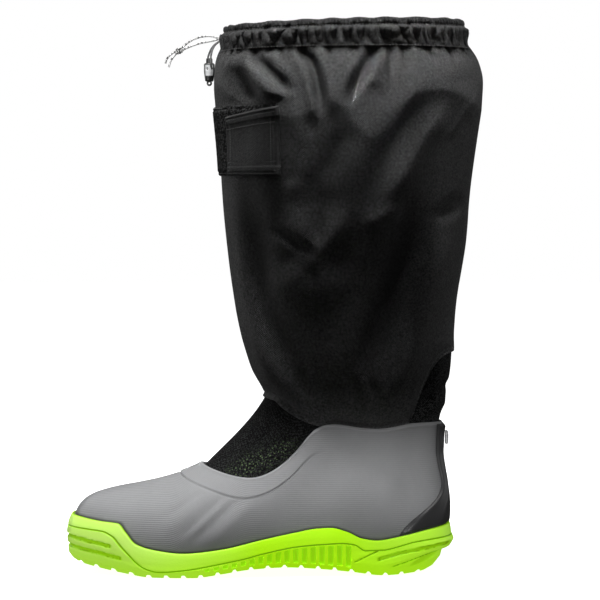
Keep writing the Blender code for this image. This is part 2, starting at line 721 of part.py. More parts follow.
def bootie_skin(angle, rise):
    """Outer face of the bootie above the collar edge: a cubic curve up to its hidden top ring."""
    angle, rise = np.broadcast_arrays(angle, rise)
    share = share_of(angle)
    names = ("lean", "first", "second", "bulge")
    column = {name: spline(share, BOOTIE["share"], BOOTIE[name])[..., None] for name in names}
    start = upper_skin(angle, np.ones_like(angle))
    start = start - facing(upper_skin, angle, np.ones_like(angle)) * bootie_inset(angle)[..., None]
    middle, swell = BOOTIE_TOP
    x, y = round_ring(angle, *BOOTIE_RING)
    top = np.stack([x, y, middle + swell * np.cos(angle)], axis=-1)
    cosine, sine = ring_turn(angle)
    front, back, half = BOOTIE_RING
    out = np.stack([cosine * half, sine * (front - back) / 2, np.zeros_like(angle)], axis=-1)
    out /= np.linalg.norm(out, axis=-1, keepdims=True)
    up = np.array((0.0, 0.0, 1.0))
    lean = np.radians(column["lean"])
    first = start + (up * np.cos(lean) - out * np.sin(lean)) * column["first"]
    second = top - up * column["second"] + out * column["bulge"]
    t = rise[..., None]
    ends = start * (1 - t) ** 3 + top * t ** 3
    return ends + 3 * first * t * (1 - t) ** 2 + 3 * second * t ** 2 * (1 - t)


def build_bootie(mesh_cloth):
    angle = np.linspace(0, 2 * np.pi, COLUMNS, endpoint=False)
    tuck = rise_at_reach(upper_skin, angle, BOOTIE_TUCK)
    depth = bootie_inset(angle)[:, None]
    rises = np.linspace(0, 1, 7)
    outer = [upper_wall(angle, tuck, depth)]
    outer += [bootie_skin(angle, np.full(COLUMNS, rise)) for rise in rises]
    inner = [upper_wall(angle, tuck, depth + BOOTIE_WALL)]
    for rise in rises[::2]:
        level = np.full(COLUMNS, rise)
        inner.append(bootie_skin(angle, level) - facing(bootie_skin, angle, level) * BOOTIE_WALL)
    return shell("bootie", np.array(outer), np.array(inner), mesh_cloth)


def shaft_ring(angle, height, depth_share):
    """Point of the shaft's plain wall; depth share 0 is its outer face and 1 its inner face."""
    front = spline(height, SHAFT["height"], SHAFT["front"])
    back = spline(height, SHAFT["height"], SHAFT["back"])
    half = spline(height, SHAFT["height"], SHAFT["half_width"])
    depth = np.interp(height, SHAFT["height"], SHAFT["wall"]) * depth_share
    x, y = round_ring(angle, front + depth, back - depth, half - depth)
    slope, middle, low, high = RIM_SLANT
    return np.stack([x, y, height + slope * (x - middle) * ease(low, high, height)], axis=-1)


def shaft_rows(angle, levels, depth_share):
    """Rows of the shaft from its lower edge, rolled in to the bootie, up to the hem."""
    edge = even(share_of(angle), SHAFT_EDGE["share"], SHAFT_EDGE["height"])
    collar = opening_edge(angle)[:, 2]
    roll = np.where(edge < collar, collar + COLLAR_CLEAR, edge + HEM)
    heights = [edge, edge + (roll - edge) * HEM_BEND] + [roll + ROLL_HEIGHT * step for step in ROLL_STEPS]
    heights += [np.full(len(angle), level) for level in levels]
    rows = []
    for height in heights:
        lift = HUG_GAP + SHAFT["wall"][0] * (1 - depth_share)
        hug_rise = rise_at_height(bootie_skin, angle, height)
        level_out = facing(bootie_skin, angle, hug_rise) * (1.0, 1.0, 0.0)
        level_out *= lift / np.sum(level_out ** 2, axis=1, keepdims=True)
        hug = bootie_skin(angle, hug_rise) + level_out
        collar_rise = rise_at_height(upper_skin, angle, height)
        below = upper_wall(angle, collar_rise, (bootie_inset(angle) - lift)[:, None])
        hug = np.where((height < collar)[:, None], below, hug)
        climb = np.clip((height - roll) / ROLL_HEIGHT, 0, 1)
        open_share = np.sqrt(1 - (1 - climb) ** 2)[:, None]
        ring = shaft_ring(angle, height, depth_share)
        row = hug + (ring - hug) * open_share
        row[:, 2] = ring[:, 2]
        rows.append(row)
    return np.array(rows)


def build_shaft(cloth):
    angle = np.linspace(0, 2 * np.pi, COLUMNS, endpoint=False)
    outer = shaft_rows(angle, SHAFT_LEVELS, 0.0)
    inner = shaft_rows(angle, SHAFT_INNER_LEVELS, 1.0)
    return shell("shaft", outer, inner, cloth)


def shaft_face(turn, height, lift):
    """Point a little outside the shaft, at a turn in degrees round its own oval."""
    front = spline(height, SHAFT["height"], SHAFT["front"])
    back = spline(height, SHAFT["height"], SHAFT["back"])
    half = spline(height, SHAFT["height"], SHAFT["half_width"])
    radius = (back - front) / 2
    cosine, sine = np.cos(np.radians(turn)), np.sin(np.radians(turn))
    x, y = back - radius + radius * cosine, -half * sine
    out_x, out_y = cosine * half, -sine * radius
    scale = lift / np.hypot(out_x, out_y)
    return np.stack([x + out_x * scale, y + out_y * scale, height], axis=-1)


def build_loop_patch(loop_cloth):
    turn, height = np.meshgrid(np.linspace(*PATCH_TURN, 13), np.linspace(*PATCH_HEIGHT, 3))
    outer = shaft_face(turn, height, 2 * GAP + PATCH_THICK)
    return plate("loop_patch", outer, shaft_face(turn, height, 2 * GAP), loop_cloth)


def build_closure_tab(webbing):
    across, up = np.meshgrid(np.linspace(0, 1, 9), np.linspace(0, 1, 4))
    turn = FLAP_TURN[0] + (FLAP_TURN[1] - FLAP_TURN[0]) * across
    low = FLAP_BOTTOM[0] + (FLAP_BOTTOM[1] - FLAP_BOTTOM[0]) * across
    high = FLAP_TOP[0] + (FLAP_TOP[1] - FLAP_TOP[0]) * across
    height = low + (high - low) * up
    seat = 3 * GAP + PATCH_THICK
    outer = shaft_face(turn, height, seat + FLAP_THICK)
    return plate("closure_tab", outer, shaft_face(turn, height, seat), webbing)


# Draw cord and cord lock
def spun(name, profile, sides, finish_of, origin=(0, 0, 0)):
    """Turned solid from (radius, height) pairs; pairs on the axis close it."""
    turn = np.linspace(0, 2 * np.pi, sides, endpoint=False)
    points, rows = [], []
    for radius, height in profile:
        if radius == 0:
            rows.append([len(points)] * sides)
            points.append((0.0, 0.0, height))
            continue
        rows.append([len(points) + k for k in range(sides)])
        points += [(radius * math.cos(t), radius * math.sin(t), height) for t in turn]
    loops = list(zip(rows, rows[1:]))
    if profile[0][0] != 0:
        loops.append((rows[-1], rows[0]))
    faces = []
    for below, above in loops:
        for k in range(sides):
            after = (k + 1) % sides
            faces.append(tuple(dict.fromkeys((below[k], below[after], above[after], above[k]))))
    part = make(name, points, faces, finish_of)
    part.location = Vector(origin) * MM
    return part


def build_eyelet(metal):
    half = EYELET_THICK / 2
    ring = [
        (EYELET_HOLE, -half), (EYELET_OUTER, -half), (EYELET_OUTER, half * 0.3),
        (EYELET_OUTER - 0.8, half), (EYELET_HOLE + 0.5, half), (EYELET_HOLE, half * 0.4),
    ]
    eyelet = spun("cord_eyelet", ring, 16, metal, EYELET_CENTRE)
    eyelet.rotation_euler = (0, -math.pi / 2, 0)
    return eyelet


def build_strand(name, route, cord):
    """Round cord along a smooth curve through its route."""
    route = np.array(route)
    spans = np.linalg.norm(np.diff(route, axis=0), axis=1)
    length = np.concatenate([[0], np.cumsum(spans)])
    count = max(5, int(round(length[-1] / (2.5 * CORD))) + 1)
    at = np.linspace(0, length[-1], count)
    smooth = np.stack([spline(at, length, route[:, axis]) for axis in range(3)], axis=1) * MM
    curve = bpy.data.curves.new(name, "CURVE")
    curve.dimensions = "3D"
    curve.bevel_depth = CORD / 2 * MM
    curve.bevel_resolution = 1
    curve.use_fill_caps = True
    line = curve.splines.new("POLY")
    line.points.add(count - 1)
    for point, place in zip(line.points, smooth):
        point.co = (*place, 1.0)
    curve.materials.append(cord)
    part = bpy.data.objects.new(name, curve)
    bpy.context.collection.objects.link(part)
    return part


def build_knot(cord):
    lump = [(0, -1)] + [(math.cos(t), math.sin(t)) for t in np.radians((-55, -20, 20, 55))] + [(0, 1)]
    wide, deep, tall = KNOT_RADII
    knot = spun("drawcord_knot", lump, 12, cord, KNOT_CENTRE)
    for vertex in knot.data.vertices:
        vertex.co = (vertex.co.x * wide, vertex.co.y * deep, vertex.co.z * tall)
    return knot


def cross_bar(name, width, low, high, reach):
    """Cutter that runs level through the lock, across its axis."""
    mesh = bpy.data.meshes.new(name)
    shape = bmesh.new()
    bmesh.ops.create_cube(shape, size=1.0)
    bmesh.ops.scale(shape, vec=Vector((width, reach, high - low)) * MM, verts=shape.verts)
    shape.to_mesh(mesh)
    shape.free()
    cutter = bpy.data.objects.new(name, mesh)
    bpy.context.collection.objects.link(cutter)
    cutter.location = Vector((*LOCK_AXIS, (low + high) / 2)) * MM
    cutter.rotation_euler = (0, 0, math.radians(LOCK_TURN))
    return cutter


def build_lock(black, grey):
    """Cord lock: a barrel open at the top and the plunger that slides in it."""
    tail_radius, tail_length = LOCK_TAIL
    tail_end = LOCK_BOTTOM - tail_length
    barrel = [
        (0, tail_end), (tail_radius, tail_end), (tail_radius, LOCK_BOTTOM),
        (LOCK_RADIUS - LOCK_BEVEL, LOCK_BOTTOM), (LOCK_RADIUS, LOCK_BOTTOM + LOCK_BEVEL),
        (LOCK_RADIUS, LOCK_TOP - LOCK_BEVEL), (LOCK_RADIUS - LOCK_BEVEL, LOCK_TOP),
        (LOCK_BORE, LOCK_TOP), (LOCK_BORE, LOCK_FLOOR), (0, LOCK_FLOOR),
    ]
    body = spun("cord_lock_barrel", barrel, 18, black, (*LOCK_AXIS, 0))
    hole_span = (LOCK_HOLE_Z - LOCK_HOLE, LOCK_HOLE_Z + LOCK_HOLE)
    cut(body, [cross_bar("lock_hole_cutter", 2 * LOCK_HOLE, *hole_span, LOCK_REACH)])
    low, high = PLUNGER_SPAN
    length = high - low
    stem = [
        (0, 0), (PLUNGER_RADIUS, 0), (PLUNGER_RADIUS, length - PLUNGER_BEVEL),
        (PLUNGER_RADIUS - PLUNGER_BEVEL, length), (0, length),
    ]
    plunger = spun("cord_lock_plunger", stem, 18, grey, (*LOCK_AXIS, low))
    cut(plunger, [cross_bar("plunger_slot_cutter", PLUNGER_SLOT_WIDTH, *PLUNGER_SLOT, LOCK_REACH)])
    return body, plunger


def main():
    for old in list(bpy.data.objects):
        bpy.data.objects.remove(old, do_unlink=True)
    lime = finish("lime_rubber", (0.45, 0.86, 0.012), 0.55)
    foam = finish("black_foam", (0.03, 0.03, 0.03), 0.9)
    grey_textile = finish("grey_coated_textile", (0.30, 0.30, 0.31), 0.75)
    black_rubber = finish("black_rubber", (0.02, 0.02, 0.021), 0.6)
    pale_foil = finish("pale_reflective", (0.55, 0.55, 0.56), 0.35)
    mesh_cloth = finish("black_mesh", (0.02, 0.022, 0.021), 0.85)
    woven = finish("black_woven", (0.015, 0.015, 0.015), 0.7)
    loop_cloth = finish("black_loop_fastener", (0.02, 0.02, 0.02), 0.95)
    webbing = finish("black_webbing", (0.018, 0.018, 0.018), 0.8)
    dark_metal = finish("dark_eyelet", (0.03, 0.03, 0.03), 0.4, 0.6)
    cord = finish("pale_cord", (0.45, 0.45, 0.44), 0.8)
    lock_black = finish("black_plastic", (0.02, 0.02, 0.02), 0.45)
    lock_grey = finish("grey_plastic", (0.5, 0.5, 0.5), 0.4)
    boot = bpy.data.objects.new("sailing_boot", None)
    bpy.context.collection.objects.link(boot)
    parts = [
        build_outsole(lime),
        build_insole(foam),
        build_upper(grey_textile),
        build_heel_stay(black_rubber),
        build_heel_tab(pale_foil),
        build_bootie(mesh_cloth),
        build_shaft(woven),
        build_loop_patch(loop_cloth),
        build_closure_tab(webbing),
        build_eyelet(dark_metal),
        build_strand("drawcord_upper_strand", STRAND_UPPER, cord),
        build_strand("drawcord_lower_strand", STRAND_LOWER, cord),
        build_knot(cord),
        build_strand("drawcord_long_tail", TAIL_LONG, cord),
        build_strand("drawcord_short_tail", TAIL_SHORT, cord),
        build_strand("lock_loop_near", LOOP_NEAR, cord),
        build_strand("lock_loop_far", LOOP_FAR, cord),
        *build_lock(lock_black, lock_grey),
    ]
    for part in parts:
        part.parent = boot


main()
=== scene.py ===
"""Looks of a left sailing boot: lime cupsole, grey shoe, mesh bootie and gathered black shaft.

The toe points to -X, the outer side to -Y and +Z is up. Tables and surface functions are in
millimetres and become metres when a mesh is filled. What lies round the foot shares one angle, 0 at
the heel, half pi on the outer side and pi at the toe; the share is how far along the last that is.
"""
import math

import bpy
import numpy as np
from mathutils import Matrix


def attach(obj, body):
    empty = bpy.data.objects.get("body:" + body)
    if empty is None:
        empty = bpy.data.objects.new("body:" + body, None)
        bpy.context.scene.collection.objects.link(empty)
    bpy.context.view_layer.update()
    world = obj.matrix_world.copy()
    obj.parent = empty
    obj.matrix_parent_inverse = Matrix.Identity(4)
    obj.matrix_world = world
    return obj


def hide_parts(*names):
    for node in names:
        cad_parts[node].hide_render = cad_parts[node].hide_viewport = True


bl_info = {
    "name": "Sailing boot",
    "version": (1, 0, 0),
    "blender": (4, 5, 0),
    "location": "3D View > Sidebar > Sailing boot",
    "description": "Builds the visible pieces of a sailing boot round its fixed frame",
    "category": "Object",
}

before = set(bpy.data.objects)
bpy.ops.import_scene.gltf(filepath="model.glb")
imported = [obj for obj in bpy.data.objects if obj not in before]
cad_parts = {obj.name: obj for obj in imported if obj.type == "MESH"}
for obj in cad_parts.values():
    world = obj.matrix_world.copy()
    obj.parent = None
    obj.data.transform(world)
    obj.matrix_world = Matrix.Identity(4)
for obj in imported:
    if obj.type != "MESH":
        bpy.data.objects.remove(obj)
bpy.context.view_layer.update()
MM = 0.001
TAU = 2 * np.pi
# Rises at which a skin's columns are sampled
EVEN_RISES = np.linspace(0, 1, 121)


def table(heading, *rows):
    """Short table of sections, read by column name."""
    return dict(zip(heading.split(), np.array(rows, float).T))


# Last and cupsole
HEEL_X = 128.5
LAST_LENGTH = 283.8
PLAN_ROUND = 0.6
SKIN_LIFT = 0.3
# Rows of the side below and above the moulded line, round of the rim, and spans across tread and cup
SIDE_ROWS = (36, 14)
RIM_ROUND = 1.1
TREAD_RUNGS = 44
BED_RUNGS = 6
# Insets and heights of the insole's rings
INSOLE_RINGS = ((0.0, 0.0), (0.0, 2.8), (0.4, 3.6), (1.3, 4.0))
LAST = table(
    "share centre half_width floor",
    (0.00, 0, 40, 20),
    (0.10, 0, 41, 19.5),
    (0.20, 0, 38.2, 18.6),
    (0.30, -1.5, 35.8, 17.2),
    (0.40, -3.5, 34.1, 15.2),
    (0.50, -4.5, 36, 13),
    (0.60, -3, 42.5, 11),
    (0.70, 0, 49, 9.8),
    (0.80, 3.5, 52.5, 10.6),
    (0.90, 6.5, 48.5, 13.8),
    (1.00, 8, 36, 19),
)
TREAD = table(
    "share bottom",
    (0.000, 0.8), (0.055, 0), (0.155, 0), (0.24, 2.8), (0.32, 5.2), (0.42, 6.8), (0.52, 5.5),
    (0.59, 2.7), (0.67, 0), (0.78, 0), (0.85, 2.2), (0.93, 5.4), (0.97, 7.2), (1, 10),
)
RIM = table(
    "share top",
    (0.00, 37.5), (0.05, 34.4), (0.12, 29.6), (0.175, 27.1), (0.215, 28.6), (0.26, 34),
    (0.305, 37.2), (0.34, 36.8), (0.40, 33.8), (0.50, 28), (0.60, 21.6), (0.70, 18.8),
    (0.78, 21.3), (0.825, 25), (0.86, 33.5), (0.89, 40), (0.93, 40.8), (1.00, 43.4),
)
SIDE_LEVELS = table(
    "heel_share mid_share toe_share heel_out mid_out toe_out",
    (0.00, 0.00, 0.00, -11, 0.8, 2.2),
    (0.10, 0.10, 0.10, -5, 3.2, 4.8),
    (0.30, 0.20, 0.20, 0.6, 3.8, 5.2),
    (0.46, 0.25, 0.25, 2.2, 4, 5.3),
    (0.52, 0.31, 0.35, 8.2, 4.2, 5.3),
    (0.66, 0.55, 0.60, 8.8, 4, 4.8),
    (0.80, 0.80, 0.85, 4.9, 3.2, 3.4),
    (1.00, 1.00, 1.00, 2, 2.2, 2.2),
)
CUP_GAP = 0.5
HEEL_BLEND = (0.02, 0.16)
TOE_BLEND = (0.82, 0.97)
# Line moulded all round the side wall: the heel's line, then the rail that rises over the toe
RAIL = table(
    "share height",
    (0, 28.8), (0.072, 26), (0.165, 19.6), (0.206, 19.5), (0.235, 24), (0.27, 25.3),
    (0.32, 24.7), (0.385, 23.2), (0.485, 17.9), (0.53, 14.6), (0.61, 10.2), (0.69, 6.3),
    (0.76, 4.7), (0.795, 7.2), (0.848, 20), (0.89, 31), (0.915, 33.6), (1.00, 34.8),
)
# Other lines of the side wall: the shares they run between, width, depth, then share and height pairs
SIDE_LINES = (
    (0.886, 1.1, 3, 1.3, ((0.88, 22.4), (0.95, 25.6), (1, 27.2))),
    (0.858, 1.1, 3, 1.3, ((0.85, 13.6), (0.93, 17.6), (1, 20))),
    (0.010, 0.170, 3, 1.3, ((0, 24.2), (0.06, 20.8), (0.112, 17.4), (0.19, 11.2))),
    (0.165, 0.235, 1.3, 0.9, ((0.15, 21.2), (0.167, 19.6), (0.208, 14.4), (0.25, 9.2))),
    (-0.1, 0.132, 1.1, 0.8, ((0, 18.4), (0.06, 13.6), (0.14, 6.4))),
)
# Long shallow recess on each side of the heel: x, height, half length, half height, tilt, depth
HEEL_RECESS = (114.0, 11.2, 10.5, 2.3, -24.0, 1.1)
LINE_WIDTH = 1.3
WINDOW_COUNT = 17
WINDOW_FIRST_X = -50.5
WINDOW_PITCH = 6.72
WINDOW_WIDTH = 3.7
WINDOW_ABOVE_TREAD = 4.4
WINDOW_BELOW_RAIL = 1.7
LUG_FIRST_X = -147.0
LUG_LAST_X = 113.0
LUG_PITCH = 13.0
LUG_SLOT_WIDTH = 3.4
LUG_WAVE = 2.2
LUG_REACH = 64.0
LUG_HALF_WAVE = 42.7
SIPE_WIDTH = 0.9
SIPE_DEPTH = 1.1
SOLE_HALF_COLUMNS = 330

# Shoe upper
UPPER_WALL = 2.2
EDGE_ROUND = 0.9
UPPER = table(
    "share edge_x edge_half edge_z low_out low_z fan flare high_z",
    (0.00, 131.2, 35, 115, 18, 53, 0.00, -8, 85),
    (0.10, 117, 35.6, 114.8, 9.5, 53, 0.00, -4.5, 85),
    (0.20, 92, 37.3, 113.7, 5, 50, 0.00, 0, 86),
    (0.30, 60, 36.2, 113, 4, 48, 0.00, 2, 86),
    (0.38, 35.5, 36, 113.4, 3.5, 46, 0.00, 4, 84),
    (0.46, 19.5, 35.8, 98, 3, 42, 0.00, 6, 76),
    (0.54, 3.5, 35.6, 83, 3, 38, 0.04, 8, 66),
    (0.62, -12, 36.5, 75.6, 3, 36, 0.15, 6.5, 61),
    (0.70, -25, 35.7, 75.2, 3, 37, 0.30, 4, 61),
    (0.80, -39, 31.8, 77.8, 3, 44, 0.42, 3, 60),
    (0.90, -50.2, 24, 81, 7, 60, 0.52, 2, 55.5),
    (1.00, -55.8, 20, 83.4, 11.5, 76, 0.60, 0, 53.5),
)
BAND_WIDTH = 18.5
QUARTER_BULGE = 2.4
# Small rises and dips of the collar edge along the side
COLLAR_WAVE = table(
    "x lift",
    (20, 0), (36, 0.2), (51, 1.2), (65, 0.3), (83, -1.2), (92, -0.9), (101, 0.3),
    (115, 0.9), (131.2, 0.2),
)
# Creases pressed into the flex of the forefoot: x and height of both ends, half width, depth
CREASES = (
    (-54, 65.5, -84, 44.5, 3, 0.6),
    (-36.5, 62.5, -72, 30, 2.6, 0.55),
    (-25.5, 60, -62, 27, 3.8, 0.75),
    (-31.5, 62.5, -67.5, 27.5, 3.4, -0.5),
    (-46, 64, -80, 36, 4.4, -0.7),
    (-15, 57, -50, 25, 5, -0.7),
    (-128, 60, -66, 66.5, 4, -0.5),
)

# Heel stay: half angle it covers on the upper, by height share from the sole to the collar
STAY = table(
    "height half_angle",
    (0.00, 40), (0.10, 36), (0.20, 27), (0.32, 17), (0.42, 14), (0.55, 16.5),
    (0.75, 22), (1.00, 25),
)
STAY_RIDGE = table("height across", (0.0, 0.42), (0.2, 0.46), (0.42, 0.52), (0.7, 0.46), (1.0, 0.42))
STAY_CLEAR = 0.6
STAY_LIFT = 2.3
TAB_SIZE = (1.8, 10.0, 10.0)
TAB_Z = 103.0
TAB_SEAT = 4.4

# Bootie
BOOTIE_WALL = 1.6
BOOTIE_SEAT = 0.5
BOOTIE_TUCK = 9.0
BOOTIE_TOP = (176.0, 16.0)
BOOTIE_RING = (-3.0, 138.0, 41.0)
BOOTIE = table(
    "share lean first second bulge",
    (0, -8, 16, 46, 2.5),
    (0.3, 0, 15, 30, 0),
    (0.5, 12, 25, 34, 0),
    (0.7, 24, 32, 36, -2),
    (1, 44, 30, 26, -8),
)
BOOTIE_CREASES = (
    (112, 131, 139, 147, 3.2, 2.2),
    (108, 122, 139, 133, 4.5, -1.4),
    (131, 158, 114, 140, 1.5, -1),
    (2, 112, -24, 96, 3.5, 0.9),
    (14, 108, -12, 92, 3.5, 0.7),
)
MESH_PITCH = 2.2
# Line along which glints are painted into the mesh's holes, greenish like the layer under it, given as the
# bootie's creases are
GLINT_LINE = ((-35.0, 75.6, 17.0, 101.6, 7.0, -1.0),)
RING = table(
    "share turn",
    (0.00, 0.00), (0.10, 0.14), (0.17, 0.25), (0.30, 0.50), (0.38, 0.66), (0.50, 0.80),
    (0.70, 0.92), (1.00, 1.00),
)

# Shaft
SHAFT = table(
    "height front back half_width",
    (100, -2, 134, 39),
    (136, -10.6, 136.5, 42.5),
    (161, -18.8, 139.4, 47.5),
    (185, -25, 140.6, 51),
    (215, -30.2, 142.6, 54.5),
    (250, -35.2, 148.2, 58.5),
    (285, -40.2, 151.4, 61.5),
    (330, -43.2, 156.2, 64.5),
    (367, -45.4, 161.2, 66),
    (388, -45.4, 161.2, 66),
    (398, -43.6, 156.2, 63.6),
    (407, -40.2, 149, 60.4),
    (411, -39, 146.8, 59.4),
    (416, -39.2, 147.6, 60),
    (421, -38, 146.6, 59.2),
    (424.5, -36.2, 144.2, 57.6),
)
SHAFT_WALL = 1.2
RIM_SLANT = (0.028, 57.0, 388.0, 424.5)
SHAFT_EDGE = table(
    "share height",
    (0, 171), (0.05, 167), (0.08, 160), (0.105, 149), (0.13, 132), (0.146, 119.5),
    (0.165, 111), (0.19, 107), (0.36, 106.5), (0.378, 113.8), (0.40, 115.3), (0.44, 117),
    (0.5, 120.5), (0.6, 128), (0.7, 133.5), (1, 136),
)
TUCK_BLEND = (0.05, 0.10, 0.50, 0.58)
HUG_GAP = 0.8
COLLAR_CLEAR = 1.5
HEM = 3.0
ROLL_HEIGHT = 20.0
SHAFT_COLUMNS = 360
SHAFT_TOP = 408.0
TWILL_PITCH = 1.5
FLAP_PITCH = 1.3
# Width and height by which the flap's and the patch's borders and weave are measured
FLAP_SIZE = (40.0, 50.0)
PATCH_SIZE = (110.0, 52.0)
# Folds of the cloth seen from the outer side: half width, depth (less than 0 stands out), x and height pairs
FOLDS = (
    (3.6, 2.4, ((14, 418), (5, 408), (-4, 400), (-12, 394))),
    (2.8, 2.8, ((-6, 412), (-11, 404), (-18, 394))),
    (4.8, 4.4, ((-20, 402), (-12, 393), (0, 381.5), (10, 372), (18, 365))),
    (4.2, 5.2, ((12, 403), (20, 399), (27, 393), (31.5, 384), (35, 370), (37, 358), (38, 346))),
    (5, 3.8, ((77, 410), (73, 396), (68, 385), (62, 374), (55, 356))),
    (2.6, 1.4, ((88, 408), (88, 390), (89, 370))),
    (2.6, 1.6, ((94, 412), (97, 402), (102, 384))),
    (3, 2.8, ((112, 412), (118, 401), (126, 390))),
    (3, 2.8, ((130, 412), (134, 403), (140, 391))),
    (7.5, 3.4, ((-34, 392), (-27, 384), (-19, 371), (-12, 360), (-8, 352))),
    (8, -2.6, ((-18, 390), (-2, 374), (9, 360), (17, 340), (19, 322))),
    (8, 0.6, ((17, 347), (27, 344), (38, 340))),
    (7, 0.7, ((66, 372), (80, 367), (94, 362))),
    (8, -1.4, ((17, 352), (17, 325), (19, 300), (20, 278))),
    (7, 1, ((55, 344), (48, 326), (40, 308), (34, 296))),
    (7, 0.6, ((24, 309), (31, 296), (42, 276))),
    (9, -3.4, ((130, 366), (120, 351), (107, 325), (94, 297), (82, 278))),
    (9, 1.5, ((130, 372), (98, 346), (83, 322), (73, 292), (66, 264))),
    (2.6, -0.7, ((150, 372), (144, 360), (136, 347), (125, 328))),
    (10, -3.5, ((14, 290), (24, 262), (33, 250), (44, 258), (56, 290))),
    (17, -3.2, ((12, 246), (33, 222), (54, 244))),
    (3.6, 1.2, ((-4, 271), (8, 262), (22, 253), (38, 245))),
    (6, -0.9, ((-2, 264), (20, 244), (50, 234))),
    (6, -1.5, ((66, 267), (80, 274), (98, 284))),
    (9, 2.4, ((-18, 304), (-12, 272), (-8, 215), (7, 176), (27, 144))),
    (9, -3.2, ((-34, 296), (-28, 262), (-21, 206), (-6, 166), (22, 130), (48, 106))),
    (13, 3.4, ((110, 296), (98, 252), (88, 212), (74, 180), (58, 132))),
    (9, -4.2, ((136, 288), (123, 236), (111, 192), (100, 160), (84, 130), (72, 112))),
    (7, -0.8, ((90, 256), (76, 217), (63, 180), (52, 145))),
    (6, 1.6, ((146, 290), (136, 284), (120, 270))),
    (1.4, 0.4, ((33, 250), (33.5, 200), (33, 138))),
    (3.4, 1, ((60, 156), (66, 138), (71, 118))),
    (3.4, 1, ((73, 156), (79, 136), (84, 118))),
    (6, 1, ((18, 164), (23, 144), (29, 124))),
)
# Lowest height of the cloth's shoulder under the hem, along the outer side
SHOULDER = table(
    "x height",
    (-43, 391), (-21, 389), (-10, 375), (1, 364), (13, 351), (23, 351), (35, 358),
    (47, 361), (54, 356), (62, 344), (75, 336), (88, 343), (96, 357), (105, 367),
    (126, 371), (138, 366), (148, 360), (160, 356),
)
SHOULDER_TOP = 404.0
SHOULDER_SLOPE = 0.22
SHOULDER_DIP = 3.0
# Belly of the cloth at the sides of the leg, below the shoulder
BELLY = table("height lift", (150.0, 0.0), (205.0, -2.0), (250.0, -1.0), (290.0, 0.8), (330.0, 0.0))
# Where the cloth lies flat under the closure: turns in degrees and heights that it fades over
FLAT_TURN = (107.0, 117.5, 215.0, 225.0)
FLAT_HEIGHT = (296.0, 304.5, 361.0, 368.0)
# Rows of the outer cloth and of the lining: along the hem, the roll and the free wall
CLOTH_ROWS = (6, 16, 160)
LINING_ROWS = (5, 10, 60)
# Painted highlight on the lower edge at the back: rows, the x it fades over and how much lighter it is
EDGE_ROWS = 9
EDGE_FADE = (60.0, 95.0)
EDGE_HIGHLIGHT = 1.8
# How far the lining follows the cloth where it folds in and where it stands out
LINING_IN = 1.4
LINING_OUT = 0.3
# The inner side has the outer side's folds, their x taken from this number, and lowered
FOLD_FLIP_X = 112.0
FOLD_FLIP_DROP = 7.0
CASING = table(
    "out height gather ruffle",
    (-2.6, 404.6, 0, 0),
    (-1, 403.6, 0.3, 0),
    (-0.6, 404.3, 0.3, 0),
    (-0.2, 405.4, 0.6, 0),
    (0.3, 407.2, 1, 0),
    (1.2, 409.8, 1.2, 0),
    (1.9, 412.6, 1.2, 0),
    (1.9, 415.4, 1.1, 0),
    (1, 417.5, 0.8, 0.1),
    (-1, 418.9, 0.4, 0.2),
    (-0.2, 419.8, 0.3, 0.5),
    (0.5, 421.2, 0.1, 1),
    (0.9, 422.6, 0, 1.2),
    (0.6, 423.6, 0, 1.2),
    (-0.2, 424, 0, 1.2),
    (-0.9, 423.2, 0, 1.1),
    (-1.4, 421.4, 0, 0.7),
    (-2.4, 418, 0, 0.2),
    (-3, 411, 0, 0),
    (-2.8, 406.5, 0, 0),
)
CASING_COLUMNS = 1200
CASING_ROWS = 56
GATHERS = 50
# Middle and half height of the gathers, and height of the teeth of painted shade under them
HEM_MIDDLE = 411.0
HEM_HALF = 8.0
HEM_TEETH = 405.0
# Height and lift of the hem's two rows of stitches, and points along each
HEM_STITCHES = ((403.4, -0.1), (418.9, -0.3))
HEM_STEPS = 700
# Point that stitches face away from, and the share of the pitch and the radius of each stitch
SHAFT_MIDDLE = (57.0, 0.0, 0.0)
STITCH_SHARE = 0.62
STITCH_RADIUS = 0.38

# Hook-and-loop closure: turn round the shaft's oval in degrees (180 is the front), and height
PATCH_TURN = (121.0, 212.0)
PATCH_HEIGHT = (306.5, 359.0)
PATCH_THICK = 1.7
PATCH_SEAT = 0.6
FLAP_TURN = (118.5, 152.5)
FLAP_BOTTOM = (305.0, 306.0)
FLAP_TOP = (358.0, 350.5)
FLAP_THICK = 2.0
FLAP_SEAT = 2.6

# Draw cord and cord lock
CORD = 1.5
# Step along a cord's route
CORD_STEP = 0.8
EYELET_CENTRE = (-41.1, 0.0, 411.5)
EYELET_RING = (3.3, 1.1, 0.75)
LONG_CORD = (
    (-41.8, 0.9, 412.4), (-46.8, 1.3, 414.2), (-55.4, 1.5, 414.2), (-64, 1.2, 411.2),
    (-71.1, 0.6, 405.7), (-73.2, 0, 403.6), (-75.3, -0.7, 401.2), (-78.8, -1.8, 396.9),
    (-80.4, -2.4, 393.6), (-81.2, -2.6, 390.4),
)
SHORT_CORD = (
    (-41.8, -0.9, 412.2), (-48.3, -1.6, 410.6), (-56.1, -1.8, 409.1), (-64, -1.5, 406.6),
    (-69.9, -1, 404.1), (-73.2, -0.1, 402.9), (-76.4, 0.8, 402.4), (-80.2, 2, 400.2),
    (-82.9, 2.8, 397.2), (-84.2, 3.2, 393.6),
)
LOCK_LOOP = (
    (-41.8, -0.9, 410.5), (-45.6, -2.6, 407.2), (-48, -4.9, 401.5), (-48.6, -7, 396),
    (-48.4, -7.4, 392.3), (-48.1, -6.1, 389.9), (-47.75, -4.6, 389.3), (-50, 0, 389.3),
    (-52.25, 4.6, 389.3), (-51.9, 6.1, 389.9), (-51.6, 7.4, 392.3), (-51.6, 7, 396),
    (-50, 4.7, 402), (-46.4, 2.4, 407.6), (-41.8, 0.9, 410.7),
)
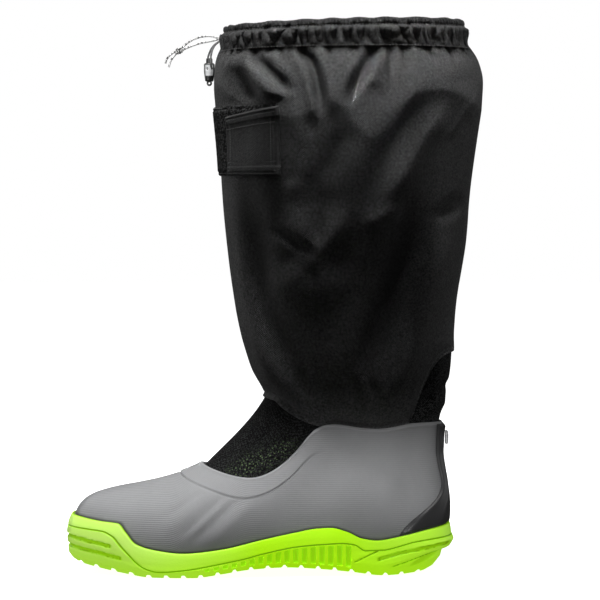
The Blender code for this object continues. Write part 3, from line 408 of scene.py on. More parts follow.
KNOT_CENTRE = (-73.2, 0.0, 403.4)
KNOT_TURNS = 3.2
LOCK_AXIS = (-50.0, 0.0)
LOCK_TURN = -28.0
LOCK_RADIUS = 4.2
LOCK_BORE = 2.95
LOCK_BOTTOM = 379.5
LOCK_TOP = 393.5
LOCK_FLOOR = 381.2
LOCK_HOLE = (1.35, 389.3)
# Heights over which the pale face of the lock starts and ends
LOCK_PANEL = (383.6, 384.2, 392.0, 392.6)
# Eye hung below the lock: radius of its ring, half its thickness outwards and across, and height
LOCK_EYE = (1.45, 0.72, 0.8, 378.1)
# How much narrower the lock is at its bottom, and over what height
LOCK_TAPER = (0.2, 9.0)
PLUNGER_RADIUS = 2.6
PLUNGER_SPAN = (384.2, 397.4)
PLUNGER_HEAD = 393.0
PLUNGER_SLOT_WIDTH = 2.3

# Camera: place, downward tilt in degrees and lens
CAMERA_PLACE = (0.0203, -1.770, 0.280)
CAMERA_TILT = 2.265
CAMERA_LENS = 136.6


# Curves and surfaces
def spline(at, knots, values):
    """Natural cubic curve through a table's rows."""
    step = np.diff(knots)
    system = np.eye(len(knots))
    target = np.zeros(len(knots))
    slope = np.diff(values) / step
    for row in range(1, len(knots) - 1):
        before, after = step[row - 1], step[row]
        system[row, row - 1:row + 2] = before, 2 * (before + after), after
        target[row] = 6 * (slope[row] - slope[row - 1])
    bend = np.linalg.solve(system, target)
    at = np.clip(at, knots[0], knots[-1])
    row = np.clip(np.searchsorted(knots, at, side="right") - 1, 0, len(knots) - 2)
    near = (knots[row + 1] - at) / step[row]
    far = 1 - near
    curve = (near ** 3 - near) * bend[row] + (far ** 3 - far) * bend[row + 1]
    return near * values[row] + far * values[row + 1] + curve * step[row] ** 2 / 6


def even(at, knots, values):
    """Cubic curve through a table's rows that stays between neighbouring rows."""
    slope = np.diff(values) / np.diff(knots)
    tangent = np.zeros(len(knots))
    tangent[0], tangent[-1] = slope[0], slope[-1]
    product = slope[:-1] * slope[1:]
    total = np.where(product > 0, slope[:-1] + slope[1:], 1.0)
    tangent[1:-1] = np.where(product > 0, 2 * product / total, 0.0)
    at = np.clip(at, knots[0], knots[-1])
    row = np.clip(np.searchsorted(knots, at, side="right") - 1, 0, len(knots) - 2)
    width = knots[row + 1] - knots[row]
    t = (at - knots[row]) / width
    start = values[row] * (1 + 2 * t) * (1 - t) ** 2 + tangent[row] * width * t * (1 - t) ** 2
    end = values[row + 1] * t ** 2 * (3 - 2 * t) + tangent[row + 1] * width * t ** 2 * (t - 1)
    return start + end


def ease(low, high, value):
    """Smooth step from 0 at low to 1 at high."""
    t = np.clip((value - low) / (high - low), 0, 1)
    return t * t * (3 - 2 * t)


def between(value, start, full, last, end):
    """Smooth step up from start to full, and down again from last to end."""
    return ease(start, full, value) * (1 - ease(last, end, value))


def full_turn(count):
    """Even angles all round."""
    return np.linspace(0, TAU, count, endpoint=False)


def unit(vectors):
    """Vectors of length one."""
    return vectors / np.maximum(np.linalg.norm(vectors, axis=-1, keepdims=True), 1e-9)


def run_along(path):
    """Length from the start of a path to each of its points."""
    return np.concatenate([[0], np.cumsum(np.linalg.norm(np.diff(path, axis=0), axis=1))])


def share_of(angle):
    """Half of one less the cosine: 0 at the heel, 1 at the toe."""
    return (1 - np.cos(angle)) / 2


def angle_of(share):
    """Angle on the outer side at a share of the last."""
    return np.arccos(1 - 2 * np.clip(share, 0, 1))


def swing(angle, roundness):
    """Signed sideways reach: the sine raised to a power, blunter at the ends than a sine."""
    return np.sign(np.sin(angle)) * np.abs(np.sin(angle)) ** roundness


def last_plan(angle):
    """Feather edge of the last seen from above: centre line plus half width times the swing."""
    share = share_of(angle)
    half = spline(share, LAST["share"], LAST["half_width"])
    centre = spline(share, LAST["share"], LAST["centre"])
    return np.stack([HEEL_X - share * LAST_LENGTH, centre - half * swing(angle, PLAN_ROUND)], axis=-1)


def plan_out(angle):
    """Direction that points away from the last in plan: its tangent turned a quarter."""
    along = unit(last_plan(angle + 0.02) - last_plan(angle - 0.02))
    return np.stack([-along[..., 1], along[..., 0]], axis=-1)


def floor_z(angle):
    """Height of the last's underside."""
    return spline(share_of(angle), LAST["share"], LAST["floor"])


def tread_z(angle):
    """Height of the tread."""
    return even(share_of(angle), TREAD["share"], TREAD["bottom"])


def rim_z(angle):
    """Height of the cupsole's top rim."""
    return even(share_of(angle), RIM["share"], RIM["top"])


def opening_edge(angle):
    """Edge of the collar and throat opening, with the collar's small wave."""
    share = share_of(angle)
    half = spline(share, UPPER["share"], UPPER["edge_half"])
    x = spline(share, UPPER["share"], UPPER["edge_x"])
    z = spline(share, UPPER["share"], UPPER["edge_z"]) + spline(x, COLLAR_WAVE["x"], COLLAR_WAVE["lift"])
    return np.stack([x, -half * swing(angle, EDGE_ROUND), z], axis=-1)


def upper_skin(angle, rise):
    """Outer face of the upper: a cubic curve from the feather edge, rise 0, to the opening, rise 1."""
    angle, rise = np.broadcast_arrays(angle, rise)
    share = share_of(angle)
    column = {name: spline(share, UPPER["share"], UPPER[name]) for name in UPPER if name != "share"}
    edge = opening_edge(angle)
    plan = last_plan(angle)
    out = plan_out(angle)
    foot = np.concatenate([plan, (floor_z(angle) + SKIN_LIFT)[..., None]], axis=-1)
    low = np.concatenate([plan + out * column["low_out"][..., None], column["low_z"][..., None]], axis=-1)
    spread = (plan - edge[..., :2]) * column["fan"][..., None]
    reach = edge[..., :2] + spread + out * column["flare"][..., None]
    high = np.concatenate([reach, column["high_z"][..., None]], axis=-1)
    t = rise[..., None]
    ends = foot * (1 - t) ** 3 + edge * t ** 3
    return ends + 3 * low * t * (1 - t) ** 2 + 3 * high * t ** 2 * (1 - t)


def facing(skin, angle, rise):
    """Unit normal of a skin, away from the foot: the cross product of its two tangents."""
    angle, rise = np.broadcast_arrays(np.asarray(angle, float), np.asarray(rise, float))
    low, high = np.clip(rise - 0.01, 0, 1), np.clip(rise + 0.01, 0, 1)
    upward = skin(angle, high) - skin(angle, low)
    around = skin(angle + 0.02, rise) - skin(angle - 0.02, rise)
    return unit(np.cross(upward, around))


def crossing(values, target):
    """Share of each column at which its rising values pass a target, read straight between samples."""
    below = np.clip(np.sum(values < target, axis=0), 1, len(values) - 1)[None]
    high = np.take_along_axis(values, below, 0)[0]
    low = np.take_along_axis(values, below - 1, 0)[0]
    part = np.clip((target - low) / np.maximum(high - low, 1e-9), 0, 1)
    return (below[0] - 1 + part) / (len(values) - 1)


def skin_heights(skin, angle):
    """Heights of a skin's columns at the even rises."""
    return skin(angle[None, :], EVEN_RISES[:, None])[..., 2]


def skin_reaches(skin, angle):
    """Length of skin left to the top edge, less than zero and rising to it, at the even rises."""
    points = skin(angle[None, :], EVEN_RISES[:, None])
    length = np.linalg.norm(np.diff(points, axis=0), axis=-1)
    return -np.concatenate([np.cumsum(length[::-1], axis=0)[::-1], np.zeros((1, len(angle)))])


def rises_at(samples, targets):
    """Rises at which sampled columns pass each row of targets."""
    return np.array([crossing(samples, target) for target in targets])


def draped(x, z, route, half_width):
    """Two profiles along a smooth line, fading to both ends: a swell, and a valley with swells beside it."""
    bends = np.linspace(0, 1, len(route))
    route = np.stack([spline(np.linspace(0, 1, 13), bends, column) for column in np.array(route).T], axis=1)
    nearest = np.full(np.shape(x), np.inf)
    place = np.zeros(np.shape(x))
    run = 0.0
    for (x0, z0), (x1, z1) in zip(route, route[1:]):
        span = math.hypot(x1 - x0, z1 - z0)
        t = np.clip(((x - x0) * (x1 - x0) + (z - z0) * (z1 - z0)) / span ** 2, 0, 1)
        away = np.hypot(x - x0 - t * (x1 - x0), z - z0 - t * (z1 - z0))
        place = np.where(away < nearest, run + t * span, place)
        nearest = np.minimum(nearest, away)
        run += span
    fade = between(place / run, 0.0, 0.3, 0.65, 1.0)
    off = (nearest / half_width) ** 2
    return fade * np.exp(-off), fade * (1 - 0.7 * off) * np.exp(-off / 2)


def pressed(x, z, creases):
    """Outward lift of straight creases: each a bell across its line that fades towards both ends."""
    lift = np.zeros(np.shape(x))
    for x0, z0, x1, z1, half_width, depth in creases:
        length = math.hypot(x1 - x0, z1 - z0)
        along = ((x - x0) * (x1 - x0) + (z - z0) * (z1 - z0)) / length ** 2
        across = ((x - x0) * (z1 - z0) - (z - z0) * (x1 - x0)) / length
        ends = between(along, -0.12, 0.22, 0.72, 1.12)
        lift -= depth * ends * np.exp(-(across / half_width) ** 2)
    return lift


# Meshes
def grid_corners(rows, columns, wrap_rows, wrap_columns):
    """Corners of each quad of a grid, and their places in a grid one larger that doesn't wrap."""
    row = np.arange(rows if wrap_rows else rows - 1)[:, None, None] + np.array((0, 0, 1, 1))
    column = np.arange(columns if wrap_columns else columns - 1)[None, :, None] + np.array((0, 1, 1, 0))
    row, column = np.broadcast_arrays(row, column)
    vertex = (row % rows) * columns + column % columns
    place = row * (columns + 1) + column
    return vertex.reshape(-1, 4), place.reshape(-1, 4)


def volume(points, quads, tris):
    """Signed volume of a closed mesh: a sixth of the sum of its corner triple products."""
    halves = np.concatenate([quads[:, (0, 1, 2)], quads[:, (0, 2, 3)], tris])
    a, b, c = points[halves[:, 0]], points[halves[:, 1]], points[halves[:, 2]]
    return np.sum(a * np.cross(b, c)) / 6


NO_TRIS = np.zeros((0, 3), int)


def piece(name, points, quads, material, tris=NO_TRIS, uv=None, marks=None):
    """Object of one closed mesh from points in millimetres, with faces turned outwards."""
    points = np.asarray(points, float).reshape(-1, 3)
    quads = np.asarray(quads, int)
    if volume(points, quads, tris) < 0:
        quads, tris = quads[:, ::-1], tris[:, ::-1]
        uv = None if uv is None else uv[:, ::-1]
    corners = np.concatenate([quads.ravel(), tris.ravel()]).astype(np.int32)
    starts = np.concatenate([np.arange(len(quads)) * 4, len(quads) * 4 + np.arange(len(tris)) * 3])
    mesh = bpy.data.meshes.new(name)
    mesh.vertices.add(len(points))
    mesh.vertices.foreach_set("co", (points * MM).astype(np.float32).ravel())
    mesh.loops.add(len(corners))
    mesh.loops.foreach_set("vertex_index", corners)
    mesh.polygons.add(len(starts))
    mesh.polygons.foreach_set("loop_start", starts.astype(np.int32))
    mesh.update(calc_edges=True)
    if uv is not None:
        layer = mesh.uv_layers.new(name="cloth")
        layer.data.foreach_set("uv", uv.astype(np.float32).ravel())
    for mark, values in (marks or {}).items():
        attribute = mesh.attributes.new(mark, "FLOAT", "POINT")
        attribute.data.foreach_set("value", np.asarray(values, np.float32).ravel())
    if mesh.validate():
        raise RuntimeError(name + " has faulty faces")
    mesh.shade_smooth()
    mesh.set_sharp_from_angle(angle=math.radians(50))
    mesh.materials.append(material)
    made = bpy.data.objects.new(name, mesh)
    bpy.context.scene.collection.objects.link(made)
    return made


def settle(made, slot, *nodes, body="boot"):
    """Lets a piece ride on its body and hides the solids that it stands for; its slot is not used."""
    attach(made, body)
    if nodes:
        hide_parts(*nodes)
    return made


def tube_skin(name, rings, material, uv=None, marks=None):
    """Closed skin of a ring of rings: rows wrap from the last to the first, and columns all round."""
    rows, columns = rings.shape[:2]
    quads, places = grid_corners(rows, columns, True, True)
    picked = None if uv is None else uv.reshape(-1, 2)[places]
    return piece(name, rings, quads, material, uv=picked, marks=marks)


def rungs(ring, count, start, first_new):
    """Rows of rungs across a foot-shaped ring, with their corner numbers, and the fans at its two ends."""
    total = len(ring)
    half = total // 2
    one, other = np.arange(1, half), total - np.arange(1, half)
    t = np.linspace(0, 1, count + 1)[None, 1:-1, None]
    inner = ring[one][:, None] * (1 - t) + ring[other][:, None] * t
    numbers = first_new + np.arange((half - 1) * (count - 1)).reshape(half - 1, count - 1)
    rows = np.concatenate([start + one[:, None], numbers, start + other[:, None]], axis=1)
    quads = np.stack([rows[:-1, :-1], rows[:-1, 1:], rows[1:, 1:], rows[1:, :-1]], axis=-1).reshape(-1, 4)
    heel = np.stack([np.full(count, start), rows[0, 1:], rows[0, :-1]], axis=-1)
    toe = np.stack([np.full(count, start + half), rows[-1, :-1], rows[-1, 1:]], axis=-1)
    return inner.reshape(-1, 3), quads, np.concatenate([heel, toe])


def slab(outer, inner):
    """Points and quads of a plate between two grids, closed round its border."""
    rows, columns = outer.shape[:2]
    quads, _ = grid_corners(rows, columns, False, False)
    under = rows * columns
    index = np.arange(under).reshape(rows, columns)
    border = np.concatenate([index[0, :-1], index[:-1, -1], index[-1, :0:-1], index[:0:-1, 0]])
    after = np.roll(border, -1)
    wall = np.stack([after, border, border + under, after + under], axis=-1)
    points = np.concatenate([outer.reshape(-1, 3), inner.reshape(-1, 3)])
    return points, np.concatenate([quads, quads[:, ::-1] + under, wall])


def end_fans(rings, sides):
    """Triangles that close a tube's two ends round the points put after its rings."""
    here = np.arange(sides)
    after = (here + 1) % sides
    total = rings * sides
    low = np.stack([np.full(sides, total), after, here], -1)
    high = np.stack([np.full(sides, total + 1), total - sides + here, total - sides + after], -1)
    return np.concatenate([low, high])


def lathe(profile, sides):
    """Turned solid: (radius, height) rings round the upright, closed by fans on the axis."""
    turn = full_turn(sides)
    profile = np.asarray(profile, float)
    radius, height = np.broadcast_arrays(profile[:, :1] + 0 * turn, profile[:, 1:])
    rings = np.stack([radius * np.cos(turn), radius * np.sin(turn), height], -1)
    quads, _ = grid_corners(len(profile), sides, False, True)
    ends = np.array([(0, 0, profile[0, 1]), (0, 0, profile[-1, 1])])
    return np.concatenate([rings.reshape(-1, 3), ends]), quads, end_fans(len(profile), sides)


def swept(path, radius, sides):
    """Round tube along a path, its rings carried on without twist, its end fans and the UV of its sides."""
    along = unit(np.gradient(path, axis=0))
    side = np.empty_like(path)
    first = np.cross(along[0], (0.0, 1.0, 0.0))
    side[0] = first / np.linalg.norm(first)
    for step in range(1, len(path)):
        carried = side[step - 1] - along[step] * np.dot(side[step - 1], along[step])
        side[step] = carried / np.linalg.norm(carried)
    over = np.cross(along, side)
    turn = full_turn(sides)[None, :, None]
    rings = path[:, None] + radius * (side[:, None] * np.cos(turn) + over[:, None] * np.sin(turn))
    quads, places = grid_corners(len(path), sides, False, True)
    length = run_along(path)
    around = np.linspace(0, 1, sides + 1)
    uv = np.stack(np.broadcast_arrays(around[None], length[:, None]), -1).reshape(-1, 2)[places]
    points = np.concatenate([rings.reshape(-1, 3), path[:1], path[-1:]])
    return points, quads, end_fans(len(path), sides), uv


def smooth_route(route, step):
    """Natural cubic curve through a route, sampled at an even step of length."""
    route = np.asarray(route, float)
    length = run_along(route)
    at = np.linspace(0, length[-1], int(length[-1] / step) + 2)
    return np.stack([spline(at, length, route[:, axis]) for axis in range(3)], axis=1)


def stitch_row(centres, along, out, length, radius):
    """Points and quads of many stitches: short six-sided grains with tapered ends, pressed flat."""
    along = unit(along)
    out = unit(out - along * np.sum(out * along, axis=-1, keepdims=True))
    side = np.cross(along, out)
    reach = np.array((-0.5, -0.34, 0.34, 0.5))[:, None] * length
    girth = np.array((0.35, 1.0, 1.0, 0.35))[:, None] * radius
    turn = full_turn(6)[None]
    parts = [reach + 0 * turn, girth * np.cos(turn), girth * np.sin(turn) * 0.7]
    local = [part.reshape(1, -1, 1) for part in parts]
    points = centres[:, None] + along[:, None] * local[0] + side[:, None] * local[1] + out[:, None] * local[2]
    quads, _ = grid_corners(4, 6, False, True)
    caps = np.array(((0, 1, 2, 3), (0, 3, 4, 5), (21, 20, 19, 18), (23, 22, 21, 18)))
    one = np.concatenate([quads, caps[:, ::-1]])
    every = one[None] + (np.arange(len(centres)) * 24)[:, None, None]
    return points.reshape(-1, 3), every.reshape(-1, 4)


# Materials
def add(tree, kind, inputs=None, **settings):
    """A node with its settings, its inputs set to values or joined to sockets."""
    made = tree.nodes.new(kind)
    for name, value in settings.items():
        setattr(made, name, value)
    for name, value in (inputs or {}).items():
        if isinstance(value, bpy.types.NodeSocket):
            tree.links.new(value, made.inputs[name])
        else:
            made.inputs[name].default_value = value
    return made


def calc(tree, operation, *values, use_clamp=False):
    """Output of a Math node over sockets and numbers."""
    inputs = dict(enumerate(values))
    return add(tree, "ShaderNodeMath", inputs, operation=operation, use_clamp=use_clamp).outputs[0]


def mapped(tree, value, start, end, low=0.0, high=1.0):
    """A value that goes from low to high while another goes from start to end, held outside them."""
    ends = {"From Min": start, "From Max": end, "To Min": low, "To Max": high}
    return add(tree, "ShaderNodeMapRange", {"Value": value, **ends}).outputs["Result"]


def cloudy(tree, at, scale, detail):
    """Smooth noise at a point."""
    return add(tree, "ShaderNodeTexNoise", {"Vector": at, "Scale": scale, "Detail": detail}).outputs["Fac"]


def group(name, inputs, outputs):
    """Empty node group with named sockets, and its input and output nodes."""
    tree = bpy.data.node_groups.new(name, "ShaderNodeTree")
    for socket, kind, value in inputs:
        made = tree.interface.new_socket(socket, in_out="INPUT", socket_type=kind)
        if value is not None:
            made.default_value = value
    for socket, kind in outputs:
        tree.interface.new_socket(socket, in_out="OUTPUT", socket_type=kind)
    return tree, tree.nodes.new("NodeGroupInput").outputs, tree.nodes.new("NodeGroupOutput")


def drift_group():
    """Tone drift: cloudy noise in two sizes as a factor round 1."""
    tree, given, out = group(
        "tone_drift",
        (("Vector", "NodeSocketVector", None), ("Scale", "NodeSocketFloat", 60.0),
         ("Amount", "NodeSocketFloat", 0.1)),
        (("Factor", "NodeSocketFloat"), ("Cloud", "NodeSocketFloat")),
    )
    wide = cloudy(tree, given["Vector"], given["Scale"], 4.0)
    small = calc(tree, "MULTIPLY", given["Scale"], 9.0)
    fine = cloudy(tree, given["Vector"], small, 3.0)
    cloud = calc(tree, "MULTIPLY_ADD", fine, 0.35, calc(tree, "MULTIPLY", wide, 0.65))
    swing_of = calc(tree, "MULTIPLY", calc(tree, "SUBTRACT", cloud, 0.5), 4.0)
    factor = calc(tree, "MULTIPLY_ADD", swing_of, given["Amount"], 1.0)
    tree.links.new(factor, out.inputs["Factor"])
    tree.links.new(cloud, out.inputs["Cloud"])
    return tree


def twill_group():
    """Twill: slanting ridges crossed by the single threads, from a UV map in millimetres."""
    tree, given, out = group(
        "twill_weave",
        (("Vector", "NodeSocketVector", None), ("Pitch", "NodeSocketFloat", 1.0)),
        (("Height", "NodeSocketFloat"), ("Shade", "NodeSocketFloat")),
    )
    parts = add(tree, "ShaderNodeSeparateXYZ", {"Vector": given["Vector"]}).outputs
    turn = calc(tree, "DIVIDE", TAU, given["Pitch"])
    slant = calc(tree, "MULTIPLY", calc(tree, "ADD", parts["X"], parts["Y"]), turn)
    against = calc(tree, "SUBTRACT", parts["X"], parts["Y"])
    cross = calc(tree, "MULTIPLY", against, calc(tree, "MULTIPLY", turn, 2.0))
    ridge = calc(tree, "MULTIPLY_ADD", calc(tree, "SINE", slant), 0.35, 0.5)
    height = calc(tree, "MULTIPLY_ADD", calc(tree, "SINE", cross), 0.15, ridge)
    tree.links.new(height, out.inputs["Height"])
    tree.links.new(calc(tree, "MULTIPLY_ADD", height, 0.9, 0.55), out.inputs["Shade"])
    return tree


def grain_group():
    """Fine moulded or matted grain: two sizes of noise as a height."""
    tree, given, out = group(
        "fine_grain",
        (("Vector", "NodeSocketVector", None), ("Scale", "NodeSocketFloat", 900.0)),
        (("Height", "NodeSocketFloat"),),
    )
    coarse = cloudy(tree, given["Vector"], given["Scale"], 2.0)
    tight = calc(tree, "MULTIPLY", given["Scale"], 2.7)
    fine = cloudy(tree, given["Vector"], tight, 1.0)
    height = calc(tree, "MULTIPLY_ADD", fine, 0.4, calc(tree, "MULTIPLY", coarse, 0.6))
    tree.links.new(height, out.inputs["Height"])
    return tree


def place_group(tree, name, maker, inputs):
    """Outputs of a shared group placed in a material, made the first time it is asked for."""
    shared = bpy.data.node_groups.get(name) or maker()
    return add(tree, "ShaderNodeGroup", inputs, node_tree=shared).outputs


def drifting(tree, at, scale, amount):
    """Factor and cloud of the tone drift at a point."""
    return place_group(tree, "tone_drift", drift_group, dict(Vector=at, Scale=scale, Amount=amount))


def grained(tree, at, scale):
    """Height of the fine grain at a point."""
    return place_group(tree, "fine_grain", grain_group, dict(Vector=at, Scale=scale))["Height"]


def new_material(name, **constants):
    """Material with a Principled shader whose constant sockets are set directly."""
    material = bpy.data.materials.new(name)
    material.use_nodes = True
    tree = material.node_tree
    shader = tree.nodes["Principled BSDF"]
    for socket, value in constants.items():
        shader.inputs[socket.replace("_", " ")].default_value = value
    return material, tree, shader


def object_point(tree):
    """Object coordinates."""
    return add(tree, "ShaderNodeTexCoord").outputs["Object"]


def cloth_point(tree):
    """The piece's own UV map."""
    return add(tree, "ShaderNodeUVMap", uv_map="cloth").outputs["UV"]


def mark_value(tree, name):
    """A value kept on the mesh."""
    return add(tree, "ShaderNodeAttribute", attribute_name=name, attribute_type="GEOMETRY").outputs["Fac"]


def tinted(tree, colour, factor):
    """A colour, given or from a socket, times a value."""
    source = colour if isinstance(colour, bpy.types.NodeSocket) else tuple(colour)
    return add(tree, "ShaderNodeVectorMath", {0: source, "Scale": factor}, operation="SCALE").outputs[0]


def blend(tree, mask, first, second):
    """Mix of two colours by a mask."""
    mixed = add(tree, "ShaderNodeMix", data_type="RGBA")
    tree.links.new(mask, mixed.inputs["Factor"])
    for socket, value in ((mixed.inputs[6], first), (mixed.inputs[7], second)):
        if isinstance(value, bpy.types.NodeSocket):
            tree.links.new(value, socket)
        else:
            socket.default_value = (*value, 1.0)
    return mixed.outputs[2]


def raise_bump(tree, shader, height, distance, strength=1.0):
    """Bump of a height in metres into the shader's normal."""
    bump = add(tree, "ShaderNodeBump", {"Height": height, "Distance": distance, "Strength": strength})
    tree.links.new(bump.outputs["Normal"], shader.inputs["Normal"])


def set_roughness(tree, shader, value, low, high):
    """Roughness that follows a value from low to high."""
    tree.links.new(mapped(tree, value, 0.0, 1.0, low, high), shader.inputs["Roughness"])


def rubber_material(name, colour, low, high, grain, tint=0.05, gloss=0.4):
    """Moulded rubber: drifting tone, fine grain and uneven gloss."""
    material, tree, shader = new_material(name, Specular_IOR_Level=gloss)
    at = object_point(tree)
    drift = drifting(tree, at, 45.0, tint)
    tree.links.new(tinted(tree, colour, drift["Factor"]), shader.inputs["Base Color"])
    set_roughness(tree, shader, drift["Cloud"], low, high)
    height = grained(tree, at, grain)
    raise_bump(tree, shader, height, 0.00025, 0.6)
    return material


def lime_material(colour, pale, glow):
    """Fluorescent rubber with painted light: a painted highlight that pales its ends, a painted glow that is
    stronger by the floor, and painted shade that darkens colour and glow in the recesses.
    """
    material = rubber_material("lime_rubber", colour, 0.38, 0.54, 700.0, gloss=0.2)
    tree = material.node_tree
    shader = tree.nodes["Principled BSDF"]
    parts = add(tree, "ShaderNodeSeparateXYZ", {"Vector": object_point(tree)}).outputs
    # Painted highlight: the colour is mixed towards the pale colour at the toe and heel, more so higher up
    # and less in the recesses.
    toe = mapped(tree, parts["X"], -0.095, -0.01, 1.0, 0.0)
    heel = mapped(tree, parts["X"], 0.05, 0.13, 0.0, 0.4)
    high = mapped(tree, parts["Z"], 0.006, 0.026, 0.35, 1.0)
    ends = calc(tree, "MULTIPLY", calc(tree, "MAXIMUM", toe, heel), high)
    # Painted shade: the sunk value darkens the colour and the glow in the grooves, windows, slots and at the
    # rim.
    sunk = mark_value(tree, "sunk")
    ends = calc(tree, "MULTIPLY", ends, calc(tree, "MULTIPLY_ADD", sunk, -0.75, 1.0), use_clamp=True)
    shade = calc(tree, "MULTIPLY_ADD", sunk, -0.3, 1.0)
    tone = blend(tree, ends, shader.inputs["Base Color"].links[0].from_socket, pale)
    scaled = tinted(tree, tone, shade)
    # Painted glow: the emission repeats the colour, painted stronger close to the floor.
    painted_glow = tinted(tree, scaled, mapped(tree, parts["Z"], 0.002, 0.028, 1.6, 1.0))
    tree.links.new(scaled, shader.inputs["Base Color"])
    tree.links.new(painted_glow, shader.inputs["Emission Color"])
    shader.inputs["Emission Strength"].default_value = glow
    return material


def upper_material(colour, pitch):
    """Coated textile: ribs along the mesh's thread value, with drifting tone, a fine matt grain, painted
    shade just above the sole and a painted highlight on the collar's rolled lip.
    """
    material, tree, shader = new_material("grey_coated_textile", Specular_IOR_Level=0.2)
    at = object_point(tree)
    thread = calc(tree, "MULTIPLY", mark_value(tree, "thread"), TAU / pitch)
    wander = cloudy(tree, at, 55.0, 2.0)
    rib = calc(tree, "SINE", calc(tree, "MULTIPLY_ADD", wander, 2.2, thread))
    drift = drifting(tree, at, 38.0, 0.07)
    tone = calc(tree, "MULTIPLY", drift["Factor"], calc(tree, "MULTIPLY_ADD", rib, 0.035, 1.0))
    # Painted shade darkens the colour just above the sole; values below 0 paint a highlight on the collar's
    # rolled lip.
    tone = calc(tree, "MULTIPLY", tone, calc(tree, "MULTIPLY_ADD", mark_value(tree, "seam"), -0.7, 1.0))
    tree.links.new(tinted(tree, colour, tone), shader.inputs["Base Color"])
    set_roughness(tree, shader, drift["Cloud"], 0.62, 0.82)
    grain = grained(tree, at, 1400.0)
    height = calc(tree, "MULTIPLY_ADD", rib, 0.35, calc(tree, "MULTIPLY", grain, 0.7))
    raise_bump(tree, shader, height, 0.0002, 0.8)
    return material


def cloth_material(name, colour, pitch, gloss):
    """Woven cloth: twill from the UV map, drifting tone and slubs, with painted shade where its crease value
    is high.
    """
    material, tree, shader = new_material(name, Specular_IOR_Level=0.38)
    at = object_point(tree)
    weave = place_group(tree, "twill_weave", twill_group, {"Vector": cloth_point(tree), "Pitch": pitch})
    drift = drifting(tree, at, 30.0, 0.16)
    slub = grained(tree, at, 700.0)
    fleck = calc(tree, "MAXIMUM", calc(tree, "MULTIPLY_ADD", slub, 6.5, -2.25), 0.15)
    tone = calc(tree, "MULTIPLY", calc(tree, "MULTIPLY", drift["Factor"], weave["Shade"]), fleck)
    # Painted shade: the crease value darkens the colour; below 0 it paints light.
    tone = calc(tree, "MULTIPLY", tone, calc(tree, "MULTIPLY_ADD", mark_value(tree, "crease"), -0.5, 1.0))
    tree.links.new(tinted(tree, colour, tone), shader.inputs["Base Color"])
    set_roughness(tree, shader, drift["Cloud"], gloss - 0.1, gloss + 0.1)
    height = calc(tree, "MULTIPLY_ADD", slub, 0.6, weave["Height"])
    raise_bump(tree, shader, height, 0.0004, 0.8)
    return material


def mesh_material(colour, layer, pitch):
    """Spacer mesh: round holes from the UV map, painted glints in the colour of the layer under it in some,
    and lighter behind the ankle.
    """
    material, tree, shader = new_material("black_spacer_mesh", Specular_IOR_Level=0.1)
    at = object_point(tree)
    parts = add(tree, "ShaderNodeSeparateXYZ", {"Vector": cloth_point(tree)}).outputs
    across = calc(tree, "MULTIPLY", parts["X"], TAU / pitch)
    up = calc(tree, "MULTIPLY", parts["Y"], TAU / pitch)
    cells = calc(tree, "MULTIPLY", calc(tree, "COSINE", across), calc(tree, "COSINE", up))
    hole = mapped(tree, cells, 0.05, 0.55)
    drift = drifting(tree, at, 40.0, 0.12)
    speck = cloudy(tree, at, 640.0, 0.0)
    fine = cloudy(tree, at, 900.0, 0.0)
    knot = mapped(tree, fine, 0.4, 0.62, 0.25, 2.2)
    ridge = calc(tree, "MULTIPLY", knot, calc(tree, "MULTIPLY_ADD", hole, -2.2, 2.3))
    length = add(tree, "ShaderNodeSeparateXYZ", {"Vector": at}).outputs["X"]
    ridge = calc(tree, "MULTIPLY", ridge, mapped(tree, length, 0.06, 0.1, 0.72, 2.2))
    dark = tinted(tree, colour, calc(tree, "MULTIPLY", drift["Factor"], ridge))
    # Painted glints: chosen holes along the glint line take the greenish colour.
    chosen = mapped(tree, speck, 0.5, 0.62)
    glint = calc(tree, "MULTIPLY", calc(tree, "MULTIPLY", hole, chosen), mark_value(tree, "glint"))
    tree.links.new(blend(tree, glint, dark, layer), shader.inputs["Base Color"])
    set_roughness(tree, shader, drift["Cloud"], 0.7, 0.9)
    raise_bump(tree, shader, calc(tree, "MULTIPLY", hole, -1.0), 0.0004, 0.9)
    return material


def cord_material(name, colour, fleck, braid):
    """Braided cord: crossing strands from the UV map and dark tracer flecks along it."""
    material, tree, shader = new_material(name, Specular_IOR_Level=0.3)
    parts = add(tree, "ShaderNodeSeparateXYZ", {"Vector": cloth_point(tree)}).outputs
    around = calc(tree, "MULTIPLY", parts["X"], TAU * 3)
    along = calc(tree, "MULTIPLY", parts["Y"], TAU / braid)
    one = calc(tree, "SINE", calc(tree, "ADD", along, around))
    other = calc(tree, "SINE", calc(tree, "SUBTRACT", along, around))
    strand = calc(tree, "MAXIMUM", one, other)
    spot = add(tree, "ShaderNodeCombineXYZ", {"X": parts["X"], "Y": calc(tree, "MULTIPLY", parts["Y"], 0.55)})
    noise = cloudy(tree, spot.outputs[0], 1.0, 0.0)
    mark = mapped(tree, noise, 0.57, 0.65)
    tone = calc(tree, "MULTIPLY_ADD", strand, 0.12, 0.9)
    tree.links.new(blend(tree, mark, tinted(tree, colour, tone), fleck), shader.inputs["Base Color"])
    set_roughness(tree, shader, tone, 0.85, 0.7)
    raise_bump(tree, shader, strand, 0.00012, 0.8)
    return material


